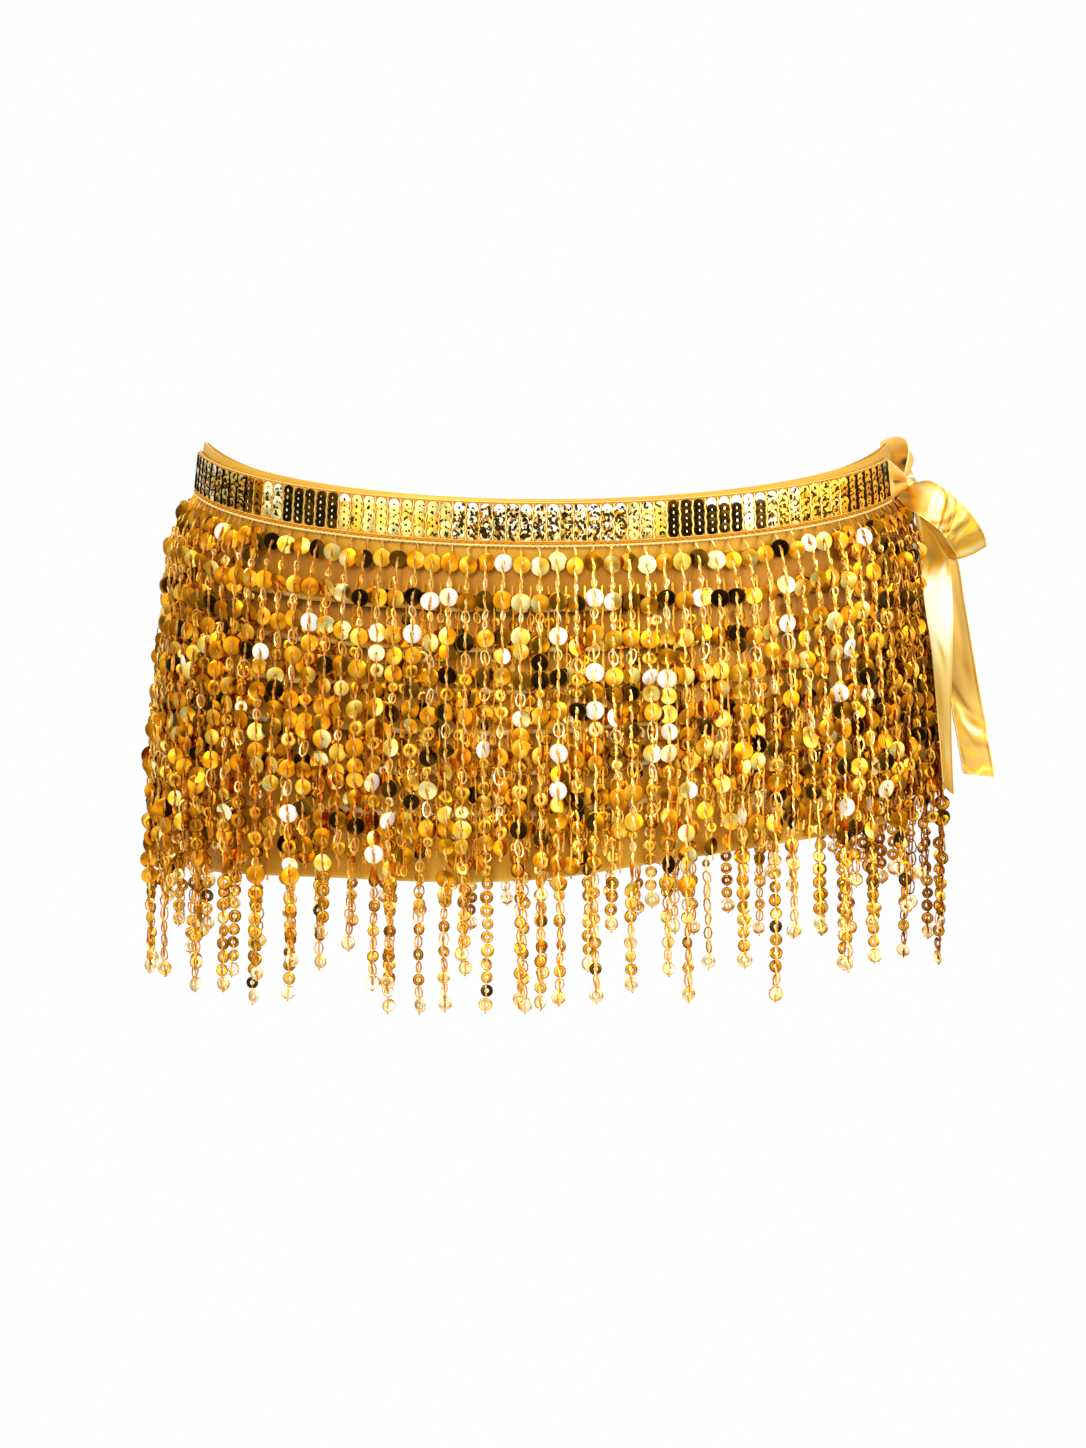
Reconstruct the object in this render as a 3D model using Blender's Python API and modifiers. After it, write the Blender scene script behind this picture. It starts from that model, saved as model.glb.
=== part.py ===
"""A sequin fringe belt, held in the hollow shape that it takes round a wearer's hips.

A satin wrap with a slit over one hip carries a sequin band, six shingled satin tiers and two rows of sequin
strands. Gathered satin tabs meet at a knot over the slit, with one bow loop and two tails. Units are metres,
+Z is up, the front faces -Y and the knot is at +X. The origin is the middle of the hips, level with the
front's top edge.

A place on the hips has three values: turn, in degrees round from the front towards the knot; z, the height;
and out, the distance outside the wrap's outer face.
"""

import math
from collections import namedtuple

import bmesh
import bpy
import numpy as np
from mathutils import Vector

# The wrap's outer face, section by section
Section = namedtuple("Section", "z half_width front_depth back_depth")
SECTIONS = (
    Section(-0.260, 0.1675, 0.117, 0.118),
    Section(-0.180, 0.1685, 0.118, 0.121),
    Section(-0.120, 0.1700, 0.119, 0.125),
    Section(-0.060, 0.1695, 0.117, 0.123),
    Section(0.000, 0.1670, 0.113, 0.116),
    Section(0.030, 0.1640, 0.108, 0.110),
)

# The slit over the hip, as turns
FRONT_EDGE = 83.0
BACK_EDGE = 94.0 - 360.0

# The top edge is high over both hips and dips at the front and the back
FRONT_TOP = -0.001
BACK_TOP = -0.003
SIDE_TOP = 0.027
HIP_ROUND = 0.2

Level = namedtuple("Level", "turn z")
HEM = (
    Level(-270.0, -0.155),
    Level(-225.0, -0.158),
    Level(-180.0, -0.160),
    Level(-135.0, -0.168),
    Level(-90.0, -0.176),
    Level(-40.0, -0.176),
    Level(0.0, -0.175),
    Level(20.0, -0.167),
    Level(45.0, -0.159),
    Level(90.0, -0.151),
)

# Cloth
WRAP_WALL = 0.0012
TRIM_WALL = 0.0010
SEAM_GAP = 0.0004
COLUMNS = 56

# Sequin band, below a lip of the wrap that widens over the hips
BAND_HEIGHT = 0.0205
BAND_WALL = 0.0018
BAND_FRONT_END = 75.0
BAND_BACK_END = 102.0 - 360.0
FRONT_LIP = 0.0016
HIP_LIP = 0.0030

# Tiers, as shares of the way from the band to the hem
TIERS = 6
FIRST_TIER_HEM = 0.193
TIER_STEP = 0.122
TIER_FALL = 0.150
TIER_STAND = 0.0022
TIER_WAVES = 13
TIER_WAVE = 0.0005

# Strands
HEADER_HEIGHT = 0.0022
HEADER_WALL = 0.0015
STRAND_WIDTH = 0.0028
STRAND_TAPER = 0.75
STRAND_SWAY = 0.0011
UPPER_STRANDS = 96
LOWER_STRANDS = 100
FRONT_FLARE = 0.62

# How far a strand's outer face stands from the wrap, by its fall below its root
Flare = namedtuple("Flare", "fall upper lower")
FLARE = (
    Flare(0.000, 0.0000, 0.0000),
    Flare(0.010, 0.0062, 0.0012),
    Flare(0.055, 0.0125, 0.0052),
    Flare(0.125, 0.0188, 0.0085),
    Flare(0.210, 0.0215, 0.0095),
)
UPPER_JOINTS = (0.010, 0.055, 0.125)
LOWER_JOINTS = (0.010, 0.036)

# The heights that the longest strands reach, and how far short of them the strands stop in turn
LONGEST_ENDS = (
    Level(-270.0, -0.230),
    Level(-180.0, -0.219),
    Level(-90.0, -0.229),
    Level(0.0, -0.238),
    Level(90.0, -0.232),
)
UPPER_CUTS = (0.052, 0.014, 0.038, 0.066, 0.024, 0.045, 0.008, 0.058, 0.030)
LOWER_CUTS = (0.000, 0.034, 0.016, 0.002, 0.038, 0.020, 0.006, 0.030, 0.013, 0.036, 0.004)

# Tie tabs, gathered from the band's height to the knot's
TAB_RELIEF = 0.0018
TAB_END_HEIGHT = 0.0070
TAB_END_OUT = 0.0042
FRONT_TAB_TIP = 84.5
BACK_TAB_TIP = 89.8
FRONT_TAB_HOLD = 1.3

# The back tab comes up over the hip and stands off it before it turns down to the knot
BACK_TAB_TOP = 0.0262
BACK_TAB_HOLD = 2.2
BACK_TAB_SWELL = 0.0095

# Knot
KNOT_CENTRE = Vector((0.1723, -0.0060, 0.0074))
KNOT_RADII = Vector((0.0044, 0.0055, 0.0038))
KNOT_TILT = math.radians(25.0)

# Ribbons, by the two edges of each row along the ribbon
Edges = namedtuple("Edges", "x_near y_near z_near x_far y_far z_far")
LOOP = (
    Edges(0.1755, -0.0108, 0.0070, 0.1692, -0.0120, -0.0046),
    Edges(0.1837, -0.0225, 0.0072, 0.1768, -0.0235, -0.0088),
    Edges(0.1951, -0.0270, -0.0015, 0.1858, -0.0285, -0.0154),
    Edges(0.2050, -0.0255, -0.0128, 0.1930, -0.0280, -0.0238),
    Edges(0.2090, -0.0210, -0.0190, 0.1965, -0.0240, -0.0290),
    Edges(0.2035, -0.0175, -0.0185, 0.1915, -0.0205, -0.0295),
    Edges(0.1940, -0.0180, -0.0075, 0.1838, -0.0205, -0.0188),
    Edges(0.1845, -0.0165, 0.0005, 0.1775, -0.0190, -0.0096),
    Edges(0.1778, -0.0085, 0.0060, 0.1766, -0.0100, 0.0010),
)
FRONT_TAIL = (
    Edges(0.1702, -0.0085, 0.0023, 0.1750, -0.0062, 0.0023),
    Edges(0.1753, -0.0145, -0.0080, 0.1845, -0.0085, -0.0080),
    Edges(0.1770, -0.0235, -0.0285, 0.1912, -0.0130, -0.0285),
    Edges(0.1790, -0.0315, -0.0520, 0.1930, -0.0205, -0.0520),
    Edges(0.1822, -0.0375, -0.0760, 0.1925, -0.0230, -0.0760),
    Edges(0.1850, -0.0415, -0.1080, 0.1920, -0.0250, -0.1090),
    Edges(0.1872, -0.0415, -0.1345, 0.1932, -0.0250, -0.1410),
)
BACK_TAIL = (
    Edges(0.1715, -0.0042, 0.0038, 0.1760, -0.0020, 0.0038),
    Edges(0.1775, -0.0045, -0.0080, 0.1870, 0.0010, -0.0080),
    Edges(0.1825, -0.0080, -0.0290, 0.1967, 0.0020, -0.0290),
    Edges(0.1860, -0.0105, -0.0490, 0.2000, -0.0005, -0.0490),
    Edges(0.1903, -0.0130, -0.0810, 0.2053, -0.0035, -0.0810),
    Edges(0.1945, -0.0150, -0.1080, 0.2103, -0.0060, -0.1105),
    Edges(0.1986, -0.0160, -0.1315, 0.2143, -0.0070, -0.1335),
)
RIBBON_WALL = 0.0010
RIBBON_CUP = 0.0008
RUN_STEP = 0.05

SATIN = (0.58, 0.33, 0.07)
RIBBON = (0.74, 0.47, 0.10)
SEQUIN = (0.72, 0.47, 0.12)


def read_table(table, column, at, keys=None):
    """A column of a table on a smooth curve through its rows. Its keys rise: by default its first column."""
    keys = keys or [row[0] for row in table]
    values = [getattr(row, column) for row in table]
    slopes = np.gradient(values, keys)
    row = min(max(int(np.searchsorted(keys, at)) - 1, 0), len(keys) - 2)
    span = keys[row + 1] - keys[row]
    t = min(max((at - keys[row]) / span, 0.0), 1.0)
    start = values[row] * (1 + 2 * t) * (1 - t) ** 2 + values[row + 1] * t * t * (3 - 2 * t)
    bend = slopes[row] * t * (1 - t) ** 2 - slopes[row + 1] * t * t * (1 - t)
    return start + bend * span


def mix(start, end, share):
    return start + (end - start) * share


def on_hips(turn, z, out=0.0):
    """The point at a turn and height, moved out along the level normal of its section."""
    angle = math.radians(turn)
    half_width = read_table(SECTIONS, "half_width", z)
    depth = read_table(SECTIONS, "front_depth" if math.cos(angle) > 0 else "back_depth", z)
    normal = Vector((math.sin(angle) / half_width, -math.cos(angle) / depth, 0.0)).normalized()
    return Vector((half_width * math.sin(angle), -depth * math.cos(angle), z)) + normal * out


def hip_share(turn):
    """0 at the middle of the front and of the back, rising evenly to a rounded 1 over a hip."""
    middle = math.hypot(1.0, HIP_ROUND)
    return (middle - math.hypot(math.cos(math.radians(turn)), HIP_ROUND)) / (middle - HIP_ROUND)


def top_z(turn):
    middle = FRONT_TOP if math.cos(math.radians(turn)) > 0 else BACK_TOP
    return mix(middle, SIDE_TOP, hip_share(turn))


def hem_z(turn):
    return read_table(HEM, "z", turn)


def band_top_z(turn):
    return top_z(turn) - FRONT_LIP - HIP_LIP * hip_share(turn)


def band_bottom_z(turn):
    return band_top_z(turn) - BAND_HEIGHT


def fall_z(turn, share):
    """The height at a share of the way from the band's lower edge to the hem."""
    return mix(band_bottom_z(turn), hem_z(turn), share)


def tier_hem(tier):
    return FIRST_TIER_HEM + TIER_STEP * tier


def make_material(name, colour, roughness, metallic):
    material = bpy.data.materials.new(name)
    material.use_nodes = True
    shader = material.node_tree.nodes["Principled BSDF"]
    shader.inputs["Base Color"].default_value = (*colour, 1.0)
    shader.inputs["Roughness"].default_value = roughness
    shader.inputs["Metallic"].default_value = metallic
    return material


def add_object(name, mesh, collection, material):
    part = bpy.data.objects.new(name, mesh)
    collection.objects.link(part)
    mesh.materials.append(make_material(name, *material))
    mesh.shade_smooth()
    mesh.set_sharp_from_angle(angle=math.radians(40.0))
    return part


def grid(columns, rows, place):
    """An open sheet whose points place() gives from 0..1 across and 0..1 down."""
    sheet = bmesh.new()
    bmesh.ops.create_grid(sheet, x_segments=columns, y_segments=rows, size=0.5)
    for vert in sheet.verts:
        vert.co = place(vert.co.x + 0.5, 0.5 - vert.co.y)
    sheet.normal_update()
    return sheet


def walled(name, columns, rows, place, wall, side, collection, material):
    """A sheet with a wall: side 1 puts it outside the sheet, -1 inside and 0 on both sides."""
    sheet = grid(columns, rows, place)
    mesh = bpy.data.meshes.new(name)
    sheet.to_mesh(mesh)
    sheet.free()
    part = add_object(name, mesh, collection, material)
    solidify = part.modifiers.new("wall", "SOLIDIFY")
    solidify.thickness = wall
    solidify.offset = side
    solidify.use_even_offset = True
    return part


def relieved(columns, rows, inner, outer):
    """A closed solid between a plain inner face and an outer face of its own form."""
    solid = grid(columns, rows, lambda u, v: Vector((u, v, 0.0)))
    grown = bmesh.ops.extrude_face_region(solid, geom=solid.faces[:], use_keep_orig=True)
    outside = {item for item in grown["geom"] if isinstance(item, bmesh.types.BMVert)}
    for vert in solid.verts:
        place = outer if vert in outside else inner
        vert.co = place(vert.co.x, vert.co.y)
    face_outwards(solid)
    return solid


def face_outwards(solid):
    bmesh.ops.recalc_face_normals(solid, faces=solid.faces[:])
    if solid.calc_volume(signed=True) < 0.0:
        bmesh.ops.reverse_faces(solid, faces=solid.faces[:])


def to_object(name, solid, collection, material):
    mesh = bpy.data.meshes.new(name)
    solid.to_mesh(mesh)
    solid.free()
    return add_object(name, mesh, collection, material)


def make_wrap(collection):
    def place(u, v):
        turn = mix(BACK_EDGE, FRONT_EDGE, u)
        return on_hips(turn, mix(top_z(turn), hem_z(turn), v))

    walled("skirt_cloth", COLUMNS, 5, place, WRAP_WALL, -1, collection, (SATIN, 0.45, 0.0))


def make_band(collection):
    def place(u, v):
        turn = mix(BAND_BACK_END, BAND_FRONT_END, u)
        return on_hips(turn, band_top_z(turn) - BAND_HEIGHT * v, SEAM_GAP)

    walled("waistband", COLUMNS, 1, place, BAND_WALL, 1, collection, (SEQUIN, 0.2, 1.0))


def make_tier(tier, collection):
    def place(u, v):
        turn = mix(BACK_EDGE, FRONT_EDGE, u)
        z = fall_z(turn, tier_hem(tier) - TIER_FALL * (1.0 - v))
        wave = TIER_WAVE * v * v * math.sin(math.tau * (TIER_WAVES * u + 0.37 * tier))
        return on_hips(turn, z, SEAM_GAP + TIER_STAND * v**1.5 + wave)

    walled(f"tier_{tier + 1}", COLUMNS, 2, place, TRIM_WALL, 1, collection, (SATIN, 0.42, 0.0))


def even_turns(count):
    """Turns at even distances along the wrap from slit to slit, both ends included."""
    turns = np.linspace(BACK_EDGE, FRONT_EDGE, 600)
    points = np.array([on_hips(turn, 0.0) for turn in turns])
    along = np.concatenate(([0.0], np.cumsum(np.linalg.norm(np.diff(points, axis=0), axis=1))))
    return np.interp(np.linspace(0.0, along[-1], count), along, turns), along[-1]


def make_fringe(name, strands, root_z, joints, column, cuts, collection):
    """A narrow header strip, with each strand drawn down from one face of the strip's lower edge."""
    middles, length = even_turns(strands * 2 + 1)
    middles = middles[1::2]
    half = 0.5 * STRAND_WIDTH / length * (FRONT_EDGE - BACK_EDGE)
    borders = sorted([turn - half for turn in middles] + [turn + half for turn in middles])
    columns = len(borders) - 1

    def edge(u, v, out):
        turn = borders[round(u * columns)]
        return on_hips(turn, root_z(turn) - HEADER_HEIGHT * v, out)

    strip = relieved(
        columns,
        1,
        lambda u, v: edge(u, v, SEAM_GAP),
        lambda u, v: edge(u, v, SEAM_GAP + HEADER_WALL),
    )
    strip.faces.ensure_lookup_table()
    lower = [face for face in strip.faces if face.normal.z < -0.9]
    lower.sort(key=lambda face: turn_of(face.calc_center_median()))
    for index, middle in enumerate(middles):
        draw_strand(strip, lower[2 * index], index, middle, half, root_z, joints, column, cuts)
    face_outwards(strip)
    to_object(name, strip, collection, (SEQUIN, 0.25, 1.0))


def turn_of(point):
    """The turn of a point, on the wrap's own scale from slit to slit."""
    half_width = read_table(SECTIONS, "half_width", point.z)
    depth = read_table(SECTIONS, "front_depth" if point.y < 0 else "back_depth", point.z)
    turn = math.degrees(math.atan2(point.x / half_width, -point.y / depth))
    return turn if turn < 0.5 * (FRONT_EDGE + BACK_EDGE + 360.0) else turn - 360.0


def draw_strand(strip, face, index, middle, half, root_z, joints, column, cuts):
    """Draws one four-sided strand down from a face, out over the tiers and to its own length."""
    root = root_z(middle) - HEADER_HEIGHT
    end = root - read_table(LONGEST_ENDS, "z", middle) - cuts[index % len(cuts)]
    falls = [fall for fall in joints if fall < end - 0.01] + [end]
    flare = mix(FRONT_FLARE, 1.0, math.sin(math.radians(middle)) ** 2)
    sway = math.degrees(STRAND_SWAY / read_table(SECTIONS, "half_width", root))
    corners = {vert: corner_of(vert.co, middle) for vert in face.verts}
    for step, fall in enumerate(falls):
        drawn = bmesh.ops.extrude_discrete_faces(strip, faces=[face])["faces"][0]
        matched = {}
        for vert in drawn.verts:
            old = min(corners, key=lambda other: (other.co - vert.co).length)
            matched[vert] = corners[old]
        share = fall / falls[-1]
        turn = middle + sway * share * math.sin(2.4 * index + 1.9 * step)
        out = read_table(FLARE, column, fall) * flare
        for vert, (side, outer) in matched.items():
            width = half * mix(1.0, STRAND_TAPER, share)
            vert.co = on_hips(turn + side * width, root - fall, SEAM_GAP + HEADER_WALL * outer + out)
        face = drawn
        corners = matched


def corner_of(point, middle):
    """Which side of the strand a corner is on, and 1 on the outer face or 0 on the inner one."""
    turn = turn_of(point)
    away = (point - on_hips(turn, point.z)).length
    return math.copysign(1.0, turn - middle), float(away > SEAM_GAP + 0.5 * HEADER_WALL)


def make_tab(name, root_turn, tip_turn, root_top, hold, swell, collection):
    """A gathered tab: two soft pleats with a deep fold between them, from the band's end to the knot."""
    root_bottom = band_bottom_z(root_turn)

    def face(u, v, out):
        top = mix(root_top, KNOT_CENTRE.z + 0.5 * TAB_END_HEIGHT, u**hold)
        bottom = mix(root_bottom, KNOT_CENTRE.z - 0.5 * TAB_END_HEIGHT, u**0.8)
        rise = TAB_END_OUT * u * u + swell * math.sin(math.pi * u)
        return on_hips(mix(root_turn, tip_turn, u), mix(top, bottom, v), SEAM_GAP + rise + out)

    def outer(u, v):
        pleat = math.sin(math.tau * v) ** 2 * math.sin(math.pi * (0.12 + 0.76 * u))
        return face(u, v, TRIM_WALL + TAB_RELIEF * pleat)

    tab = relieved(6, 12, lambda u, v: face(u, v, 0.0), outer)
    to_object(name, tab, collection, (RIBBON, 0.35, 0.0))


def make_knot(collection):
    """A small pulled knot: a rounded form with a shallow waist where the ribbon wraps it."""
    knot = bmesh.new()
    bmesh.ops.create_uvsphere(knot, u_segments=16, v_segments=10, radius=1.0)
    for vert in knot.verts:
        waist = 1.0 - 0.16 * math.exp(-((vert.co.y / 0.35) ** 2))
        shaped = Vector((vert.co.x * waist, vert.co.y, vert.co.z * waist))
        tilted = Vector(a * b for a, b in zip(shaped, KNOT_RADII))
        turned = Vector(
            (
                tilted.x,
                tilted.y * math.cos(KNOT_TILT) - tilted.z * math.sin(KNOT_TILT),
                tilted.y * math.sin(KNOT_TILT) + tilted.z * math.cos(KNOT_TILT),
            )
        )
        vert.co = KNOT_CENTRE + turned
    to_object("tie_knot", knot, collection, (RIBBON, 0.35, 0.0))


def make_ribbon(name, edges, along, across, collection):
    """A ribbon between its two edges, slightly cupped across its width."""
    keys = list(range(len(edges)))

    def edge(side, at):
        return Vector(read_table(edges, f"{axis}_{side}", at, keys) for axis in "xyz")

    def place(u, v):
        at = v * keys[-1]
        near = edge("near", at)
        far = edge("far", at)
        run = edge("near", min(at + RUN_STEP, keys[-1])) - edge("near", max(at - RUN_STEP, 0.0))
        lift = run.cross(far - near).normalized() * RIBBON_CUP * math.sin(math.pi * u)
        return near.lerp(far, u) + lift

    walled(name, across, along, place, RIBBON_WALL, 0, collection, (RIBBON, 0.35, 0.0))


def main():
    for item in list(bpy.data.objects):
        bpy.data.objects.remove(item, do_unlink=True)
    collection = bpy.data.collections.new("sequin_fringe_belt")
    bpy.context.scene.collection.children.link(collection)

    make_wrap(collection)
    make_band(collection)
    for tier in range(TIERS):
        make_tier(tier, collection)
    make_fringe(
        "fringe_upper",
        UPPER_STRANDS,
        lambda turn: band_bottom_z(turn) - SEAM_GAP,
        UPPER_JOINTS,
        "upper",
        UPPER_CUTS,
        collection,
    )
    make_fringe(
        "fringe_lower",
        LOWER_STRANDS,
        lambda turn: fall_z(turn, tier_hem(TIERS - 1)) - SEAM_GAP,
        LOWER_JOINTS,
        "lower",
        LOWER_CUTS,
        collection,
    )
    front_root = BAND_FRONT_END + 0.3
    make_tab(
        "tie_front_tab", front_root, FRONT_TAB_TIP, band_top_z(front_root), FRONT_TAB_HOLD, 0.0, collection
    )
    back_root = BAND_BACK_END + 360.0 - 0.3
    make_tab(
        "tie_back_tab", back_root, BACK_TAB_TIP, BACK_TAB_TOP, BACK_TAB_HOLD, BACK_TAB_SWELL, collection
    )
    make_knot(collection)
    make_ribbon("tie_loop", LOOP, 28, 4, collection)
    make_ribbon("tie_tail_front", FRONT_TAIL, 16, 4, collection)
    make_ribbon("tie_tail_back", BACK_TAIL, 16, 4, collection)


main()
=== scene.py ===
"""The sequin fringe belt at full detail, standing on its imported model.

Places on the hips have three values, as in the solids: turn, in degrees from the front towards the knot; z;
and out, the distance outside the wrap's outer face. Units are metres.
"""

import math
from collections import namedtuple

import bpy
import numpy as np
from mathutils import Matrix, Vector

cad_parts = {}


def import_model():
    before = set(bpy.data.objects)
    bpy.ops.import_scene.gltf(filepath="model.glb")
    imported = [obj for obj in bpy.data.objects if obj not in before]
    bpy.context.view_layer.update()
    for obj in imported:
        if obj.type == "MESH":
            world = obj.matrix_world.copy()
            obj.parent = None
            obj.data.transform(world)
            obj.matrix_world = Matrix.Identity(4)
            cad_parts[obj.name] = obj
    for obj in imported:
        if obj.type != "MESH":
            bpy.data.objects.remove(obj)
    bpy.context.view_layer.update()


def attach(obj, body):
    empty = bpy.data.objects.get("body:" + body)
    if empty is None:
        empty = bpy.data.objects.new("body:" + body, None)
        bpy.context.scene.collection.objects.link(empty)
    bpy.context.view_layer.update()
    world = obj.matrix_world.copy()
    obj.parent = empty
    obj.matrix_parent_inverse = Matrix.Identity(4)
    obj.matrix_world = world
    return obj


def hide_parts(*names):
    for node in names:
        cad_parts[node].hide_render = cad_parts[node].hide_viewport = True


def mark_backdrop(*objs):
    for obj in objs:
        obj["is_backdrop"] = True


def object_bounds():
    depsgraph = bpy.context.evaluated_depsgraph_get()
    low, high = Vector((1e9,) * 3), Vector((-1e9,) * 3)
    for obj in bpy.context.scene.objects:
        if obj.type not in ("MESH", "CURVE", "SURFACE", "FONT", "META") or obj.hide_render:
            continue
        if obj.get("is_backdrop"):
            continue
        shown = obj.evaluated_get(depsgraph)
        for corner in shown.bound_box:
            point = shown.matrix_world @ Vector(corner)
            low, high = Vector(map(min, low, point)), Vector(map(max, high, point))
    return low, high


RANDOM = np.random.default_rng(41)
spread = RANDOM.uniform
scatter = RANDOM.normal
chance = RANDOM.random

# The wrap's outer face, section by section
SECTION_Z = (-0.260, -0.180, -0.120, -0.060, 0.000, 0.030)
HALF_WIDTH = (0.1675, 0.1685, 0.1700, 0.1695, 0.1670, 0.1640)
FRONT_DEPTH = (0.117, 0.118, 0.119, 0.117, 0.113, 0.108)
BACK_DEPTH = (0.118, 0.121, 0.125, 0.123, 0.116, 0.110)
FRONT_EDGE = 83.0
BACK_EDGE = 94.0 - 360.0
FRONT_TOP = -0.001
BACK_TOP = -0.003
SIDE_TOP = 0.027
HIP_ROUND = 0.2
HEM_TURN = (-270.0, -225.0, -180.0, -135.0, -90.0, -40.0, 0.0, 20.0, 45.0, 90.0)
HEM_Z = (-0.155, -0.158, -0.160, -0.168, -0.176, -0.176, -0.175, -0.167, -0.159, -0.151)

# Sequin band and tiers
SEAM_GAP = 0.0004
BAND_HEIGHT = 0.0205
BAND_FRONT_END = 75.0
BAND_BACK_END = 102.0 - 360.0
FRONT_LIP = 0.0016
HIP_LIP = 0.0030
TIERS = 6
FIRST_TIER_HEM = 0.193
TIER_STEP = 0.122
TIER_FALL = 0.150
TIER_STAND = 0.0022

# How far strands stand from the wrap, by their fall below their roots
FLARE_FALL = (0.0, 0.010, 0.055, 0.125, 0.210)
UPPER_FLARE = (0.0, 0.0062, 0.0125, 0.0188, 0.0215)
LOWER_FLARE = (0.0, 0.0012, 0.0052, 0.0085, 0.0095)
FRONT_FLARE = 0.62
LONGEST_TURN = (-270.0, -180.0, -90.0, 0.0, 90.0)
LONGEST_Z = (-0.230, -0.219, -0.229, -0.238, -0.232)


def curve(keys, values, at):
    """Values on a smooth curve through the rows of a table, by rising keys."""
    keys = np.asarray(keys, float)
    values = np.asarray(values, float)
    slopes = np.gradient(values, keys, axis=0)
    at = np.asarray(at, float)
    row = np.clip(np.searchsorted(keys, at) - 1, 0, len(keys) - 2)
    span = keys[row + 1] - keys[row]
    t = np.clip((at - keys[row]) / span, 0.0, 1.0)
    if values.ndim > 1:
        t = t[..., None]
        span = span[..., None]
    near = values[row] * (1 + 2 * t) * (1 - t) ** 2 + slopes[row] * span * t * (1 - t) ** 2
    far = values[row + 1] * t * t * (3 - 2 * t) - slopes[row + 1] * span * t * t * (1 - t)
    return near + far


def mix(start, end, share):
    return start + (end - start) * share


def sine(turn):
    return np.sin(np.radians(turn))


def bell(distance):
    """A smooth bump over distances that are shares of its reach."""
    return np.exp(-(distance**2))


def table(columns, *rows):
    """Rows of named columns."""
    row_type = namedtuple("Row", columns)
    return [row_type(*row) for row in rows]


def unit_vector(vectors):
    return vectors / np.linalg.norm(vectors, axis=-1, keepdims=True)


def level_normal(turn, z):
    """The outward level normal of the wrap's section, and its half width and depth."""
    turn, z = np.broadcast_arrays(np.asarray(turn, float), np.asarray(z, float))
    angle = np.radians(turn)
    width = curve(SECTION_Z, HALF_WIDTH, z)
    depth = np.where(np.cos(angle) > 0, curve(SECTION_Z, FRONT_DEPTH, z), curve(SECTION_Z, BACK_DEPTH, z))
    normal = np.stack([np.sin(angle) / width, -np.cos(angle) / depth, np.zeros_like(z)], -1)
    return unit_vector(normal), width, depth


def on_hips(turn, z, out=0.0):
    """Points at places on the hips."""
    turn, z, out = np.broadcast_arrays(*(np.asarray(value, float) for value in (turn, z, out)))
    normal, width, depth = level_normal(turn, z)
    angle = np.radians(turn)
    point = np.stack([width * np.sin(angle), -depth * np.cos(angle), z], -1)
    return point + normal * out[..., None]


def hip_share(turn):
    middle = math.hypot(1.0, HIP_ROUND)
    return (middle - np.hypot(np.cos(np.radians(turn)), HIP_ROUND)) / (middle - HIP_ROUND)


def top_z(turn):
    middle = np.where(np.cos(np.radians(turn)) > 0, FRONT_TOP, BACK_TOP)
    return mix(middle, SIDE_TOP, hip_share(turn))


def hem_z(turn):
    return curve(HEM_TURN, HEM_Z, turn)


def band_top_z(turn):
    return top_z(turn) - FRONT_LIP - HIP_LIP * hip_share(turn)


def band_bottom_z(turn):
    return band_top_z(turn) - BAND_HEIGHT


def fall_z(turn, share):
    """The height at a share of the way from the band's lower edge to the hem."""
    return mix(band_bottom_z(turn), hem_z(turn), share)


def tier_hem(tier):
    return FIRST_TIER_HEM + TIER_STEP * tier


def even_turns(count, start=BACK_EDGE, end=FRONT_EDGE):
    """Turns at even distances along the wrap, both ends included."""
    turns = np.linspace(start, end, 900)
    steps = np.linalg.norm(np.diff(on_hips(turns, 0.0), axis=0), axis=1)
    along = np.concatenate(([0.0], np.cumsum(steps)))
    return np.interp(np.linspace(0.0, along[-1], count), along, turns), along[-1]


# Colours, as linear light. A tone is a place along one of these palettes, between its rows

PALETTE = np.array(
    (
        (0.017, 0.009, 0.002),
        (0.140, 0.062, 0.004),
        (0.480, 0.155, 0.003),
        (0.840, 0.290, 0.005),
        (1.000, 0.460, 0.018),
        (1.000, 0.690, 0.100),
        (1.000, 0.860, 0.340),
        (1.000, 0.985, 0.920),
    )
)
BLACK, OLIVE, BROWN, AMBER, GOLD, YELLOW, PALE, WHITE = range(8)
# Sequins at least this blue are pale, and take the less metallic material
PALE_BLUE = 0.42

# The cloth: deep fold, fold, tan gold, gold, bright gold, cream
SATINS = np.array(
    (
        (0.100, 0.036, 0.001),
        (0.360, 0.135, 0.003),
        (0.620, 0.270, 0.018),
        (0.800, 0.425, 0.032),
        (0.950, 0.680, 0.140),
        (1.000, 0.930, 0.560),
    )
)
# The ribbon, from its folds to its glints
RIBBONS = np.array(
    (
        (0.060, 0.022, 0.001),
        (0.300, 0.145, 0.014),
        (0.540, 0.345, 0.085),
        (0.880, 0.450, 0.018),
        (0.930, 0.715, 0.240),
        (1.000, 0.960, 0.720),
    )
)
BRIGHTEST = 4.99


def palette(tone, rows=PALETTE):
    """Colours at places along a palette, between its rows."""
    tone = np.clip(tone, 0.0, len(rows) - 1.001)
    low = np.floor(tone).astype(int)
    part = (tone - low)[..., None]
    return rows[low] * (1 - part) + rows[low + 1] * part


# Meshes


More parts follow.
